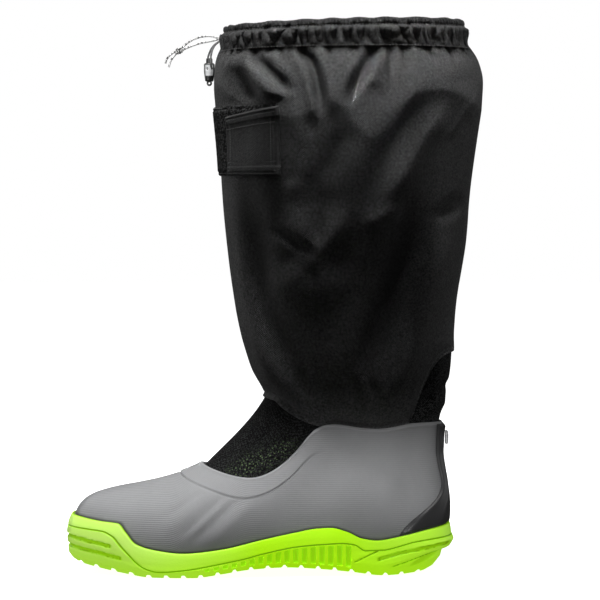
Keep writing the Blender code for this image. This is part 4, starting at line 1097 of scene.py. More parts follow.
def pile_material(colour):
    """Loop pile: matted grain with a dusty sheen."""
    material, tree, shader = new_material("black_loop_pile", Specular_IOR_Level=0.05)
    shader.inputs["Sheen Weight"].default_value = 0.03
    at = object_point(tree)
    drift = drifting(tree, at, 180.0, 0.3)
    grain = grained(tree, at, 520.0)
    tone = calc(tree, "MULTIPLY", drift["Factor"], mapped(tree, grain, 0.47, 0.6, 0.3, 4.6))
    tree.links.new(tinted(tree, colour, tone), shader.inputs["Base Color"])
    set_roughness(tree, shader, drift["Cloud"], 0.85, 1.0)
    raise_bump(tree, shader, grain, 0.0009, 1.0)
    return material


def lock_material(name, black, grey):
    """Moulded plastic: one colour, or a second where the mesh's panel value says so."""
    material, tree, shader = new_material(name, Specular_IOR_Level=0.5)
    at = object_point(tree)
    drift = drifting(tree, at, 220.0, 0.06)
    base = blend(tree, mark_value(tree, "panel"), black, grey)
    tree.links.new(tinted(tree, base, drift["Factor"]), shader.inputs["Base Color"])
    set_roughness(tree, shader, drift["Cloud"], 0.3, 0.46)
    grain = grained(tree, at, 1800.0)
    raise_bump(tree, shader, grain, 0.00008, 0.6)
    return material


def metal_material(colour):
    """Dark lacquered eyelet metal, worn bright in small spots."""
    material, tree, shader = new_material("dark_lacquered_metal", Metallic=0.6)
    at = object_point(tree)
    drift = drifting(tree, at, 400.0, 0.25)
    tree.links.new(tinted(tree, colour, drift["Factor"]), shader.inputs["Base Color"])
    set_roughness(tree, shader, drift["Cloud"], 0.28, 0.5)
    return material


# Sole
def side_stand(angle, level):
    """Stand-out of the side wall from the upper: straight between the table's levels."""
    share = share_of(angle)
    heel = 1 - ease(*HEEL_BLEND, share)
    toe = ease(*TOE_BLEND, share)
    blended = {}
    for kind in ("share", "out"):
        mid, at_heel, at_toe = (SIDE_LEVELS[end + kind][:, None] for end in ("mid_", "heel_", "toe_"))
        blended[kind] = mid + (at_heel - mid) * heel + (at_toe - mid) * toe
    places, outs = blended["share"], blended["out"]
    stand = np.broadcast_to(outs[0], level.shape).copy()
    for row in range(len(places) - 1):
        part = np.clip((level - places[row]) / (places[row + 1] - places[row]), 0, 1)
        stand += (outs[row + 1] - outs[row]) * part
    return stand


def sole_angles():
    """Angles of the sole's columns: even steps of length, with more at the windows' edges."""
    fine = np.linspace(0, np.pi, 2001)
    length = run_along(last_plan(fine))
    steps = np.interp(np.linspace(0, length[-1], SOLE_HALF_COLUMNS), length, fine)[1:-1]
    centres = WINDOW_FIRST_X + WINDOW_PITCH * np.arange(WINDOW_COUNT)
    edges = centres[:, None] + WINDOW_WIDTH / 2 * np.array((-1.15, -0.85, 0.85, 1.15))
    half = np.unique(np.round(np.append(steps, angle_of((HEEL_X - edges.ravel()) / LAST_LENGTH)), 3))
    return np.concatenate([[0], half, [np.pi], TAU - half[::-1]])


def lug_slots(x, y):
    """Mask of the wavy slots between the lugs, and of the thin sipe in the middle of each lug."""
    wave = LUG_WAVE * np.cos(np.pi * (y + LUG_REACH) / LUG_HALF_WAVE)
    place = x - wave - LUG_FIRST_X
    reach = (place > -LUG_PITCH / 2) & (place < LUG_LAST_X - LUG_FIRST_X + LUG_PITCH / 2)
    off = np.abs((place + LUG_PITCH / 2) % LUG_PITCH - LUG_PITCH / 2)
    slot = 1 - ease(LUG_SLOT_WIDTH / 2 - 0.35, LUG_SLOT_WIDTH / 2 + 0.35, off)
    sipe = 1 - ease(SIPE_WIDTH / 2 - 0.25, SIPE_WIDTH / 2 + 0.25, np.abs(off - LUG_PITCH / 2))
    return slot * reach, sipe * reach


def side_relief(share, height, line_depth, window_depth, recess=1.0):
    """Depth of the side wall's grooves, windows and heel recess: the deepest of them at each point."""
    x = HEEL_X - share * LAST_LENGTH
    line = even(share, RAIL["share"], RAIL["height"])
    slope = (even(share + 0.004, RAIL["share"], RAIL["height"]) - line) / (0.004 * LAST_LENGTH)
    off = np.abs(height - line) / np.hypot(1, slope)
    depth = line_depth * (1 - ease(LINE_WIDTH * 0.25, LINE_WIDTH * 0.62, off))
    for start, end, width, deep, rows in SIDE_LINES:
        knots, values = np.array(rows).T
        off = np.abs(height - even(share, knots, values))
        ends = between(share, start - 0.006, start + 0.006, end - 0.006, end + 0.006)
        depth = np.maximum(depth, deep * ends * (1 - ease(width * 0.32, width * 0.6, off)))
    place = (x - WINDOW_FIRST_X + WINDOW_PITCH / 2) % WINDOW_PITCH - WINDOW_PITCH / 2
    number = np.round((x - WINDOW_FIRST_X) / WINDOW_PITCH)
    real = (number >= 0) & (number < WINDOW_COUNT)
    low = even(share, TREAD["share"], TREAD["bottom"]) + WINDOW_ABOVE_TREAD
    inside = 1 - ease(WINDOW_WIDTH * 0.43, WINDOW_WIDTH * 0.57, np.abs(place))
    high = line - WINDOW_BELOW_RAIL
    inside = inside * between(height, low - 0.3, low + 0.3, high - 0.3, high + 0.3)
    depth = np.maximum(depth, window_depth * inside * real)
    middle_x, middle_z, half_length, half_height, tilt, deep = HEEL_RECESS
    turn = math.radians(tilt)
    along = (x - middle_x) * math.cos(turn) - (height - middle_z) * math.sin(turn)
    over = (x - middle_x) * math.sin(turn) + (height - middle_z) * math.cos(turn)
    lens = 1 - ease(0.75, 1.1, np.hypot(along / half_length, over / half_height))
    return np.maximum(depth, recess * deep * lens)


def build_outsole(settings):
    """Cupsole: side wall rows that follow the moulded line, a rounded rim, the cup and the lugged tread."""
    angle = sole_angles()
    count = len(angle)
    share = share_of(angle)
    bottom, top = tread_z(angle), rim_z(angle)
    line = even(share, RAIL["share"], RAIL["height"])
    heights_of_skin = skin_heights(upper_skin, angle)
    out = plan_out(angle)
    lug_depth = settings.lug_depth / MM

    def wall(heights, sink):
        """Points of the side wall at rows of heights, sunk by a depth."""
        level = (heights - bottom) / (top - bottom)
        inside = upper_skin(angle[None], rises_at(heights_of_skin, heights))[..., :2]
        plan = inside + out[None] * (CUP_GAP + side_stand(angle, level) - sink)[..., None]
        return np.concatenate([plan, heights[..., None]], axis=-1)

    foot = wall(bottom[None], np.zeros((1, count)))[0]
    slot, _ = lug_slots(foot[:, 0], foot[:, 1])
    start = bottom + lug_depth * slot
    below = np.linspace(0, 1, SIDE_ROWS[0])[:, None]
    groove = LINE_WIDTH * np.array((-0.3, 0.0, 0.3, 0.62))[:, None]
    above = np.linspace(0, 1, SIDE_ROWS[1])[1:, None]
    heights = np.concatenate([
        start + (line - LINE_WIDTH * 0.62 - start) * below,
        line + groove,
        line + LINE_WIDTH * 0.62 + (top - RIM_ROUND - line - LINE_WIDTH * 0.62) * above,
    ])
    sink = side_relief(share[None], heights, settings.line_depth / MM, settings.window_depth / MM)
    rows = wall(heights, sink)
    turn = np.radians((30, 60, 90))[:, None]
    lip = wall(top - RIM_ROUND + RIM_ROUND * np.sin(turn), RIM_ROUND * (1 - np.cos(turn)) + 0 * top)
    cup_top = wall(top[None], side_stand(angle, np.ones((1, count))) - 0.1)
    cup_floor = floor_z(angle) + SKIN_LIFT
    cup_heights = cup_floor + (top - cup_floor) * np.array((0.6, 0.25, 0.0))[:, None]
    cup = upper_skin(angle[None], rises_at(heights_of_skin, cup_heights))
    cup[..., :2] += out * CUP_GAP
    cup[-1, :, 2] = floor_z(angle)
    rings = np.concatenate([rows, lip, cup_top, cup])
    quads, _ = grid_corners(len(rings), count, False, True)
    points = rings.reshape(-1, 3)
    tread, tread_quads, tread_tris = rungs(foot, TREAD_RUNGS, 0, len(points))
    slot, sipe = lug_slots(tread[:, 0], tread[:, 1])
    tread[:, 2] += np.maximum(lug_depth * slot, SIPE_DEPTH * sipe)
    points = np.concatenate([points, tread])
    bed, bed_quads, bed_tris = rungs(rings[-1], BED_RUNGS, (len(rings) - 1) * count, len(points))
    quads = np.concatenate([quads, tread_quads[:, ::-1], bed_quads])
    tris = np.concatenate([tread_tris[:, ::-1], bed_tris])
    points = np.concatenate([points, bed])
    # Painted shade in the sunk value: darker at the rim's lip and the cup's top edge, in the side's lines and
    # windows, and in the lug slots and sipes.
    edge = np.zeros((len(rings) - len(rows), count))
    edge[:4] = np.array((0.0, 0.6, 1.8, 2.4))[:, None]
    lines = side_relief(share[None], heights, settings.line_depth / MM, 0.0, 0.0)
    side = np.sqrt(sink / sink.max()) + 1.3 * ease(0.0, 0.8, lines) * (1 - 0.7 * ease(0.9, 1.15, lines))
    sunk = np.concatenate([side.ravel(), edge.ravel(), slot * 1.6 + sipe * 0.6, np.zeros(len(bed))])
    rubber = lime_material(settings.rubber, settings.pale, settings.glow)
    made = piece("cupsole", points, quads, rubber, tris=tris, marks={"sunk": sunk})
    return settle(made, "sole_rubber", "outsole")


def build_insole(settings):
    """Insole: foot-shaped board with a rounded top edge, covered in cloth."""
    columns = 160
    angle = full_turn(columns)
    out = plan_out(angle)
    low = floor_z(angle) + SKIN_LIFT
    rows = []
    for inset, height in INSOLE_RINGS:
        plan = last_plan(angle) - out * (UPPER_WALL + 0.6 + inset)
        rows.append(np.concatenate([plan, (low + height)[:, None]], axis=1))
    rings = np.array(rows)
    quads, _ = grid_corners(len(rings), columns, False, True)
    points = rings.reshape(-1, 3)
    under, under_quads, under_tris = rungs(rings[0], 8, 0, len(points))
    points = np.concatenate([points, under])
    over, over_quads, over_tris = rungs(rings[-1], 8, (len(rings) - 1) * columns, len(points))
    points = np.concatenate([points, over])
    quads = np.concatenate([quads, under_quads[:, ::-1], over_quads])
    tris = np.concatenate([under_tris[:, ::-1], over_tris])
    cover = pile_material(settings.cover)
    cover.name = "black_insole_cloth"
    return settle(piece("sock_board", points, quads, cover, tris=tris), "insole_foam", "insole")


# Shoe upper and heel
def upper_relief(angle, reach, x, z, raised):
    """Lift of the upper's face: collar band with its step, the groove below it, the bead and the creases."""
    share = share_of(angle)
    sharp = ease(0.36, 0.46, share)
    soft = 0.7 + 3.0 * (1 - sharp)
    lift = raised * (0.45 + 0.55 * sharp) * (1 - ease(BAND_WIDTH - soft, BAND_WIDTH + soft, reach))
    lift -= (0.05 + 0.4 * sharp) * np.exp(-((reach - BAND_WIDTH - 1.1) / 0.9) ** 2)
    lift += QUARTER_BULGE * np.exp(-((z - 62.0) / 17.0) ** 2) * between(x, 20.0, 56.0, 84.0, 106.0)
    lift += 0.35 * np.exp(-((reach - 1.7) / 1.0) ** 2) - 0.5 * np.exp(-(reach / 0.5) ** 2)
    return lift + pressed(x, z, CREASES) * ease(0.0, 4.0, reach - BAND_WIDTH)


def thread_line(x, z):
    """Rib coordinate: the height, sheared so that the ribs lean across the forefoot's flex."""
    start, end, lean = -86.0, -14.0, -0.75
    t = np.clip((x - start) / (end - start), 0, 1)
    return z + lean * (end - start) * (t ** 3 * (10 - 15 * t + 6 * t * t))


def build_upper(settings):
    """Shoe upper: outer face with band and creases, rolled lip, and lining back to the feather edge."""
    angle = full_turn(440)
    heights = skin_heights(upper_skin, angle)
    reaches = skin_reaches(upper_skin, angle)
    foot, rim = floor_z(angle) + SKIN_LIFT, rim_z(angle) - 1.5
    hidden = rises_at(heights, foot + (rim - foot) * np.array((0.0, 0.5, 1.0))[:, None])
    near_band = crossing(reaches, np.full(len(angle), -BAND_WIDTH - 3.0))
    side = hidden[-1] + (near_band - hidden[-1]) * np.linspace(0, 1, 66)[1:, None]
    step = -BAND_WIDTH - np.array((2.4, 1.9, 1.5, 1.1, 0.7, 0.3, -0.1, -0.5, -1.0))
    band = np.linspace(-BAND_WIDTH + 1.8, -3.2, 17)
    bead = -np.array((2.7, 2.2, 1.7, 1.2, 0.8, 0.5, 0.25, 0.0))
    top = rises_at(reaches, np.repeat(np.concatenate([step, band, bead])[:, None], len(angle), axis=1))
    rises = np.concatenate([hidden, side, top])
    skin = upper_skin(angle[None], rises)
    normal = facing(upper_skin, angle[None], rises)
    reach = -np.array([np.interp(rises[:, k], EVEN_RISES, reaches[:, k]) for k in range(len(angle))]).T
    lift = upper_relief(angle[None], reach, skin[..., 0], skin[..., 2], settings.band_raise / MM)
    outer = skin + normal * lift[..., None]
    edge, edge_out = skin[-1], normal[-1]
    turn = np.radians((35, 70, 105, 140))[:, None, None]
    across = (lift[-1][:, None] + UPPER_WALL) / 2
    up = unit(upper_skin(angle, np.ones_like(angle)) - upper_skin(angle, np.full_like(angle, 0.97)))
    middle = edge + edge_out * (lift[-1][:, None] - across)
    lip = middle + edge_out * across * np.cos(turn) + up * 0.8 * np.sin(turn)
    inner_rises = np.concatenate([
        rises_at(reaches, np.repeat(-np.array((0.0, 2.0, 6.0, 12.0, 20.0))[:, None], len(angle), axis=1)),
        hidden[-1] + (near_band - hidden[-1]) * np.linspace(0.85, 0, 9)[:, None],
        hidden[1::-1],
    ])
    lining = upper_skin(angle[None], inner_rises)
    lining = lining - facing(upper_skin, angle[None], inner_rises) * UPPER_WALL
    lining[-1, :, 2] = outer[0, :, 2]
    rings = np.concatenate([outer, lip, lining])
    thread = thread_line(rings[..., 0], rings[..., 2])
    textile = upper_material(settings.textile, settings.rib_pitch / MM)
    # Painted shade: darker within a few millimetres above the sole's rim; painted highlight: lighter on the
    # collar's top edge and rolled lip.
    seam = 1 - ease(0.2, 2.4, rings[..., 2] - rim_z(angle))
    seam[len(outer) - 5:len(outer) + 3] = -0.4
    made = tube_skin("shoe_upper", rings, textile, marks={"thread": thread, "seam": seam})
    return settle(made, "upper_textile", "upper")


def build_heel_stay(settings):
    """Heel stay: a plate on the upper's back with a rounded border and two ridges beside its middle."""
    level = np.linspace(0, 1, 110)
    across = np.linspace(-1, 1, 73)
    half = np.radians(spline(level, STAY["height"], STAY["half_angle"]))
    angle = half[:, None] * across[None]
    low = rim_z(angle) + STAY_CLEAR
    high = opening_edge(angle)[..., 2] - STAY_CLEAR
    wanted = low + (high - low) * level[:, None]
    rise = np.array([crossing(skin_heights(upper_skin, turn), row) for turn, row in zip(angle, wanted)])
    skin = upper_skin(angle, rise)
    out = facing(upper_skin, angle, rise)
    ridge_at = spline(level, STAY_RIDGE["height"], STAY_RIDGE["across"])[:, None]
    ridge = 0.9 * np.exp(-((np.abs(across)[None] - ridge_at) / 0.11) ** 2)
    ends = ease(0.0, 0.02, np.minimum(level, 1 - level))
    border = ease(0.0, 0.13, 1 - np.abs(across))[None] * ends[:, None]
    seat = 0.25 + 0.8 * ease(0.68, 0.82, level)[:, None]
    lift = seat + border * (STAY_LIFT - 0.5 + ridge)
    points, quads = slab(skin + out * lift[..., None], skin + out * (seat - 0.2)[..., None])
    rubber = rubber_material("black_rubber", settings.stay, 0.3, 0.48, 900.0, 0.1)
    return settle(piece("heel_counter", points, quads, rubber), "stay_rubber", "heel_stay")


def build_heel_tab(settings):
    """Pale folded tab on the back strip: a crowned plate with rounded borders."""
    thick, wide, tall = TAB_SIZE
    across, up = np.meshgrid(np.linspace(-1, 1, 21), np.linspace(-1, 1, 21))
    heights = TAB_Z + np.linspace(-tall / 2, tall / 2, 4)
    back = upper_skin(np.zeros(4), rises_at(skin_heights(upper_skin, np.zeros(4)), heights[None])[0])[:, 0]
    seat = back.max() + TAB_SEAT
    crown = thick * (1 - across ** 2 * 0.4) * (1 - 0.35 * np.maximum(np.abs(across), np.abs(up)) ** 6)
    y, z = across * wide / 2, TAB_Z + up * tall / 2
    outer = np.stack([seat + crown, y, z], axis=-1)
    inner = np.stack([np.full_like(y, seat - 0.6), y, z], axis=-1)
    points, quads = slab(outer, inner)
    foil = rubber_material("pale_reflective_tape", settings.tape, 0.25, 0.42, 1500.0, 0.12)
    return settle(piece("heel_tape", points, quads, foil), "pale_tab", "heel_tab")


# Bootie and shaft
def tucked(angle):
    """1 where the shaft is tucked inside the collar, 0 where it is free."""
    return between(share_of(angle), *TUCK_BLEND)


def bootie_inset(angle):
    """Depth of the bootie's outer face under the upper's outer face."""
    return UPPER_WALL + BOOTIE_SEAT + (2 * HUG_GAP + SHAFT_WALL) * tucked(angle)


def ring_turn(angle):
    """Cosine and sine of the place round an oval ring, turned so that its columns stay upright."""
    turn = even(share_of(angle), RING["share"], RING["turn"])
    return 1 - 2 * turn, 2 * np.sqrt(np.clip(turn * (1 - turn), 0, None)) * np.sign(np.sin(angle))


def turned_angle(turn):
    """Foot angle at an even turn round the oval ring: the ring's own mapping read backwards."""
    share = np.linspace(0, 1, 4001)
    along = even(share, RING["share"], RING["turn"])
    found = angle_of(np.interp((1 - np.cos(turn)) / 2, along, share))
    return np.where(turn > np.pi, TAU - found, found)


def round_ring(angle, front, back, half):
    """Oval ring round the leg."""
    cosine, sine = ring_turn(angle)
    radius = (back - front) / 2
    return back - radius + radius * cosine, -half * sine


def bootie_skin(angle, rise):
    """Outer face of the bootie above the collar edge: a cubic curve up to its hidden top ring."""
    angle, rise = np.broadcast_arrays(angle, rise)
    share = share_of(angle)
    names = ("lean", "first", "second", "bulge")
    column = {name: spline(share, BOOTIE["share"], BOOTIE[name])[..., None] for name in names}
    start = upper_skin(angle, np.ones_like(angle))
    start = start - facing(upper_skin, angle, np.ones_like(angle)) * bootie_inset(angle)[..., None]
    middle, swell = BOOTIE_TOP
    x, y = round_ring(angle, *BOOTIE_RING)
    top = np.stack([x, y, middle + swell * np.cos(angle)], axis=-1)
    cosine, sine = ring_turn(angle)
    front, back, half = BOOTIE_RING
    out = unit(np.stack([cosine * half, sine * (front - back) / 2, np.zeros_like(angle)], axis=-1))
    up = np.array((0.0, 0.0, 1.0))
    lean = np.radians(column["lean"])
    first = start + (up * np.cos(lean) - out * np.sin(lean)) * column["first"]
    second = top - up * column["second"] + out * column["bulge"]
    t = rise[..., None]
    ends = start * (1 - t) ** 3 + top * t ** 3
    return ends + 3 * first * t * (1 - t) ** 2 + 3 * second * t ** 2 * (1 - t)


def cloth_map(rings, girth, pitch):
    """UV grid in millimetres: whole pitches round the girth ring, and the columns' mean length upwards."""
    columns = rings.shape[1]
    u = np.linspace(0, round(run_along(girth)[-1] / pitch) * pitch, columns + 1)
    length = np.linalg.norm(np.diff(rings, axis=0), axis=-1).mean(axis=1)
    v = np.concatenate([[0], np.cumsum(length), [length.sum()]])
    return np.stack(np.broadcast_arrays(u[None], v[:, None]), axis=-1)


def build_bootie(settings):
    """Bootie: from inside the collar up into the shaft, with soft wrinkles, and its own lining."""
    angle = turned_angle(full_turn(320))
    reaches = skin_reaches(upper_skin, angle)
    depth = bootie_inset(angle)[:, None]

    def inside_collar(reach, more):
        """Row of points under the collar, a length below its edge."""
        rise = crossing(reaches, np.full(len(angle), -reach))
        return upper_skin(angle, rise) - facing(upper_skin, angle, rise) * (depth + more)

    rises = np.linspace(0, 1, 64)[:, None] + 0 * angle
    skin = bootie_skin(angle[None], rises)
    lift = pressed(skin[..., 0], skin[..., 2], BOOTIE_CREASES) * between(rises, 0.0, 0.12, 0.75, 0.95)
    outer = skin + facing(bootie_skin, angle[None], rises) * lift[..., None]
    inner_rises = np.linspace(1, 0, 18)[:, None] + 0 * angle
    inner = bootie_skin(angle[None], inner_rises)
    inner = inner - facing(bootie_skin, angle[None], inner_rises) * (BOOTIE_WALL + 0.4)
    rows = [inside_collar(BOOTIE_TUCK, 0), inside_collar(BOOTIE_TUCK / 2, 0)]
    rings = np.concatenate([rows, outer, inner, [inside_collar(BOOTIE_TUCK, BOOTIE_WALL)]])
    glint = pressed(rings[..., 0], rings[..., 2], GLINT_LINE)
    cloth = mesh_material(settings.mesh, settings.glint, MESH_PITCH)
    made = tube_skin("mesh_bootie", rings, cloth, cloth_map(rings, outer[24], MESH_PITCH), {"glint": glint})
    return settle(made, "mesh_cloth", "bootie")


def shaft_oval(height):
    """Front, back and half width of the shaft at a height."""
    return (spline(height, SHAFT["height"], SHAFT[name]) for name in ("front", "back", "half_width"))


def shaft_ring(angle, height, depth):
    """Point of the shaft's plain wall, a depth in from its outer face."""
    front, back, half = shaft_oval(height)
    x, y = round_ring(angle, front + depth, back - depth, half - depth)
    slope, middle, low, high = RIM_SLANT
    return np.stack([x, y, height + slope * (x - middle) * ease(low, high, height)], axis=-1)


def shaft_out(angle, height):
    """Level direction away from the leg."""
    front, back, half = shaft_oval(height)
    cosine, sine = ring_turn(angle)
    return unit(np.stack([cosine * half, -sine * (back - front) / 2, np.zeros_like(half + cosine)], axis=-1))


def shoulder(x, z, outer):
    """Lift of the cloth: out from the hem down to the shoulder's line, then back in under it."""
    low = even(np.where(outer > 0.5, x, FOLD_FLIP_X - x), SHOULDER["x"], SHOULDER["height"])
    peak = np.clip(SHOULDER_SLOPE * (SHOULDER_TOP - low), 3.0, 8.0)
    down = np.clip((SHOULDER_TOP - z) / (SHOULDER_TOP - low), 0, 1)
    rolled = down - 0.2 * ease(0.75, 1.0, down) * (down - 0.75)
    fall = 1 - 0.08 * ease(0.0, 18.0, low - z) - 0.45 * ease(8.0, 130.0, low - z)
    return (peak + SHOULDER_DIP) * rolled * fall - SHOULDER_DIP * ease(-4.0, 0.0, SHOULDER_TOP - z)


def cloth_belly(turn, x, y, z):
    """Broad lift of the cloth and what is sewn on it: slow waves, the shoulder and the belly below it."""
    broad = np.sin(3 * turn + z / 41.0) * np.cos(z / 33.0 + turn) + 0.7 * np.sin(5 * turn - z / 27.0)
    sides = ease(0.0, 0.55, np.abs(np.sin(turn)))
    swell = spline(z, BELLY["height"], BELLY["lift"]) + shoulder(x, z, ease(-6.0, 6.0, -y))
    return 0.7 * broad + sides * swell


def shaft_folds(turn, x, y, z, depth_scale):
    """Outward lift of the cloth, with each side's folds and the hem's gathers, and the painted shade of the
    folds' valleys from their depth.
    """
    outer = ease(-6.0, 6.0, -y)
    sunk = np.zeros(np.shape(x))
    for half_width, depth, route in FOLDS:
        far = [(FOLD_FLIP_X - px, pz - FOLD_FLIP_DROP) for px, pz in route]
        kind = int(depth > 0)
        near_mask = draped(x, z, route, half_width)[kind] * outer
        sunk += depth * (near_mask + draped(x, z, far, half_width)[kind] * (1 - outer))
    degrees = np.degrees(turn)
    flat = between(degrees, *FLAT_TURN) * between(z, *FLAT_HEIGHT)
    sunk = sunk * (1 - flat) * depth_scale
    gather = np.cos(38 * turn + 1.7 * np.sin(5 * turn)) + 0.6 * np.cos(61 * turn + 2.0 * np.sin(3 * turn))
    # The second value is painted shade: a third of the valleys' depth, held between 0 and 1.
    return cloth_belly(turn, x, y, z) + gather * ease(386.0, 404.0, z) - sunk, np.clip(sunk / 3.0, 0, 1)


def shaft_wall(turn, depth, depth_scale, hem_steps, roll_steps, wall_steps):
    """Rows of the shaft: the hem inside or on the bootie, a quarter-round roll out, then the free wall."""
    angle = turned_angle(turn)
    edge = even(share_of(angle), SHAFT_EDGE["share"], SHAFT_EDGE["height"])
    collar = opening_edge(angle)[:, 2]
    roll = np.where(edge < collar, collar + COLLAR_CLEAR, edge + HEM)
    climb = np.linspace(0, 1, roll_steps)[1:, None] ** 1.7
    start = roll + ROLL_HEIGHT
    heights = np.concatenate([
        edge + (roll - edge) * np.linspace(0, 1, hem_steps)[:, None],
        roll + ROLL_HEIGHT * climb,
        start + (SHAFT_TOP - start) * np.linspace(0, 1, wall_steps)[1:, None],
    ])
    lift = HUG_GAP + SHAFT_WALL - depth
    low = heights[:hem_steps + roll_steps - 1]
    hug_rise = rises_at(skin_heights(bootie_skin, angle), low)
    level_out = facing(bootie_skin, angle[None], hug_rise) * (1.0, 1.0, 0.0)
    level_out = level_out * lift / np.sum(level_out ** 2, axis=-1, keepdims=True)
    hug = bootie_skin(angle[None], hug_rise) + level_out
    collar_rise = rises_at(skin_heights(upper_skin, angle), low)
    collar_out = facing(upper_skin, angle[None], collar_rise)
    below = upper_skin(angle[None], collar_rise) - collar_out * (bootie_inset(angle) - lift)[None, :, None]
    hug = np.where((low < collar)[..., None], below, hug)
    rows = shaft_ring(angle[None], heights, depth)
    part = np.clip((heights - roll) / ROLL_HEIGHT, 0, 1)
    opened = np.sqrt(1 - (1 - part) ** 2)
    upright = rows[..., 2].copy()
    rows[:len(low)] = hug + (rows[:len(low)] - hug) * opened[:len(low), :, None]
    rows[..., 2] = upright
    turns = turn[None] + 0 * heights
    folds, sunk = shaft_folds(turns, rows[..., 0], rows[..., 1], rows[..., 2], depth_scale)
    free = ease(0.25, 1.0, opened)
    return rows, folds * free, shaft_out(angle[None], heights), sunk * free


def build_shaft(settings):
    """Shaft: folded outer cloth with painted shade in its folds and a painted highlight on its lower edge at
    the back, and a lining that keeps inside it.
    """
    turn = full_turn(SHAFT_COLUMNS)
    scale = settings.fold_scale
    outer, folds, out, sunk = shaft_wall(turn, 0.0, scale, *CLOTH_ROWS)
    outer = outer + out * folds[..., None]
    inner, folds, out, _ = shaft_wall(turn, SHAFT_WALL, scale, *LINING_ROWS)
    inner = inner + out * (np.minimum(LINING_IN * folds, LINING_OUT * folds) - 0.3)[..., None]
    rings = np.concatenate([outer, inner[::-1]])
    cloth = cloth_material("black_twill", settings.cloth, TWILL_PITCH, 0.55)
    # Painted highlight: the lower edge's rows get a crease value below 0 at the back, which lightens the
    # colour.
    edge_highlight = ease(*EDGE_FADE, outer[:EDGE_ROWS, :, 0])
    sunk[:EDGE_ROWS] = (1 - edge_highlight) * sunk[:EDGE_ROWS] - EDGE_HIGHLIGHT * edge_highlight
    crease = np.concatenate([sunk, np.zeros(inner.shape[:2])])
    weave = cloth_map(rings, outer[120], TWILL_PITCH)
    made = tube_skin("gaiter_shaft", rings, cloth, weave, {"crease": crease})
    return settle(made, "shaft_cloth", "shaft")


def gathers(turn, run):
    """Puffs between gathers: the root of a rectified sine whose pitch and lean wander round the hem."""
    wandering = turn + 0.03 * np.sin(7 * turn + 0.6) + 0.016 * np.sin(13 * turn) + 0.01 * np.sin(29 * turn)
    lean = 0.9 * np.sin(4 * turn) + 0.8 * np.sin(9 * turn + 1.0)
    puff = np.sqrt(np.abs(np.sin(GATHERS * wandering / 2 + lean * run)))
    cross = np.sqrt(np.abs(np.sin(0.31 * GATHERS * wandering - 1.6 * lean * run + 0.7)))
    fine = np.sqrt(np.abs(np.sin(0.83 * GATHERS * wandering - 0.7 * (lean + 1.2) * run)))
    return (0.25 + 0.75 * puff) * (0.6 + 0.4 * cross) * (0.7 + 0.3 * fine) + 0.15


def build_casing(settings):
    """Gathered hem: a cord casing with a ruffled lip, its profile carried round the shaft's oval."""
    turn = full_turn(CASING_COLUMNS)
    angle = turned_angle(turn)
    knots = np.linspace(0, 1, len(CASING["out"]))
    at = np.linspace(0, 1, CASING_ROWS)
    out, height, gather, ruffle = (spline(at, knots, CASING[name])[:, None] for name in CASING)
    run = (height - HEM_MIDDLE) / HEM_HALF
    puff = gathers(turn[None], run)
    front = 1 - np.exp(-((turn[None] - np.pi) / 0.07) ** 2)
    frill = 0.7 * np.sin(GATHERS * turn[None] + 2.0 * np.sin(6 * turn[None]))
    frill = frill + 0.4 * np.sin(31 * turn[None] + 1.0)
    frill = frill + 0.6 * np.sin(3 * GATHERS * turn[None] + 3.0 * np.sin(7 * turn[None]))
    depth = settings.gather_depth / MM
    lift = out + gather * depth * (puff - 0.75) * front + 0.55 * ruffle * frill
    base = shaft_ring(angle[None], height + 0 * turn[None], 0.0)
    rings = base + shaft_out(angle[None], height + 0 * turn[None]) * lift[..., None]
    rings[..., 2] += 0.35 * ruffle * np.sin(23 * turn[None] + 1.5 * np.sin(4 * turn[None]))
    rings[..., 2] -= 1.6 * (puff - 0.6) * (1 - ease(404.5, 409.0, height)) * (out > -2.0)
    # Painted shade in the casing: darker between the puffs, on the ruffled lip, in teeth under the gathers
    # and along the upper row of stitches.
    crease = np.clip(1.6 * gather * (0.62 - puff), 0, 1) + 0.6 * np.clip(ruffle, 0, 1)
    teeth = 0.5 + 0.5 * np.sin(4 * GATHERS * turn[None] + 3.0 * np.sin(9 * turn[None]))
    crease = crease + teeth * np.exp(-((height - HEM_TEETH) / 1.4) ** 2)
    crease = crease + np.exp(-((height - HEM_STITCHES[1][0]) / 0.8) ** 2)
    cloth = cloth_material("black_hem_twill", settings.hem, TWILL_PITCH, 0.52)
    marks = {"crease": np.clip(crease, 0, 1)}
    made = tube_skin("hem_casing", rings, cloth, cloth_map(rings, rings[12], TWILL_PITCH), marks)
    return settle(made, "shaft_cloth")


def shaft_face(turn, height, lift):
    """Point a little outside the shaft's cloth, at a turn in degrees round its own oval."""
    front, back, half = shaft_oval(height)
    radius = (back - front) / 2
    cosine, sine = np.cos(np.radians(turn)), np.sin(np.radians(turn))
    x, y = back - radius + radius * cosine, -half * sine
    out_x, out_y = cosine * half, -sine * radius
    scale = (lift + cloth_belly(np.radians(turn), x, y, height)) / np.hypot(out_x, out_y)
    return np.stack([x + out_x * scale, y + out_y * scale, height + 0 * x], axis=-1)


def flap_place(across, up):
    """Turn and height on the closure flap from its left to right and bottom to top shares."""
    turn = FLAP_TURN[0] + (FLAP_TURN[1] - FLAP_TURN[0]) * across
    low = FLAP_BOTTOM[0] + (FLAP_BOTTOM[1] - FLAP_BOTTOM[0]) * across
    high = FLAP_TOP[0] + (FLAP_TOP[1] - FLAP_TOP[0]) * across
    return turn, low + (high - low) * up


def from_edge(across, up, size):
    """Distance from the nearest edge of a flat piece, from shares of its width and height."""
    wide, tall = size
    return np.minimum(np.minimum(up, 1 - up) * tall, np.minimum(across, 1 - across) * wide)


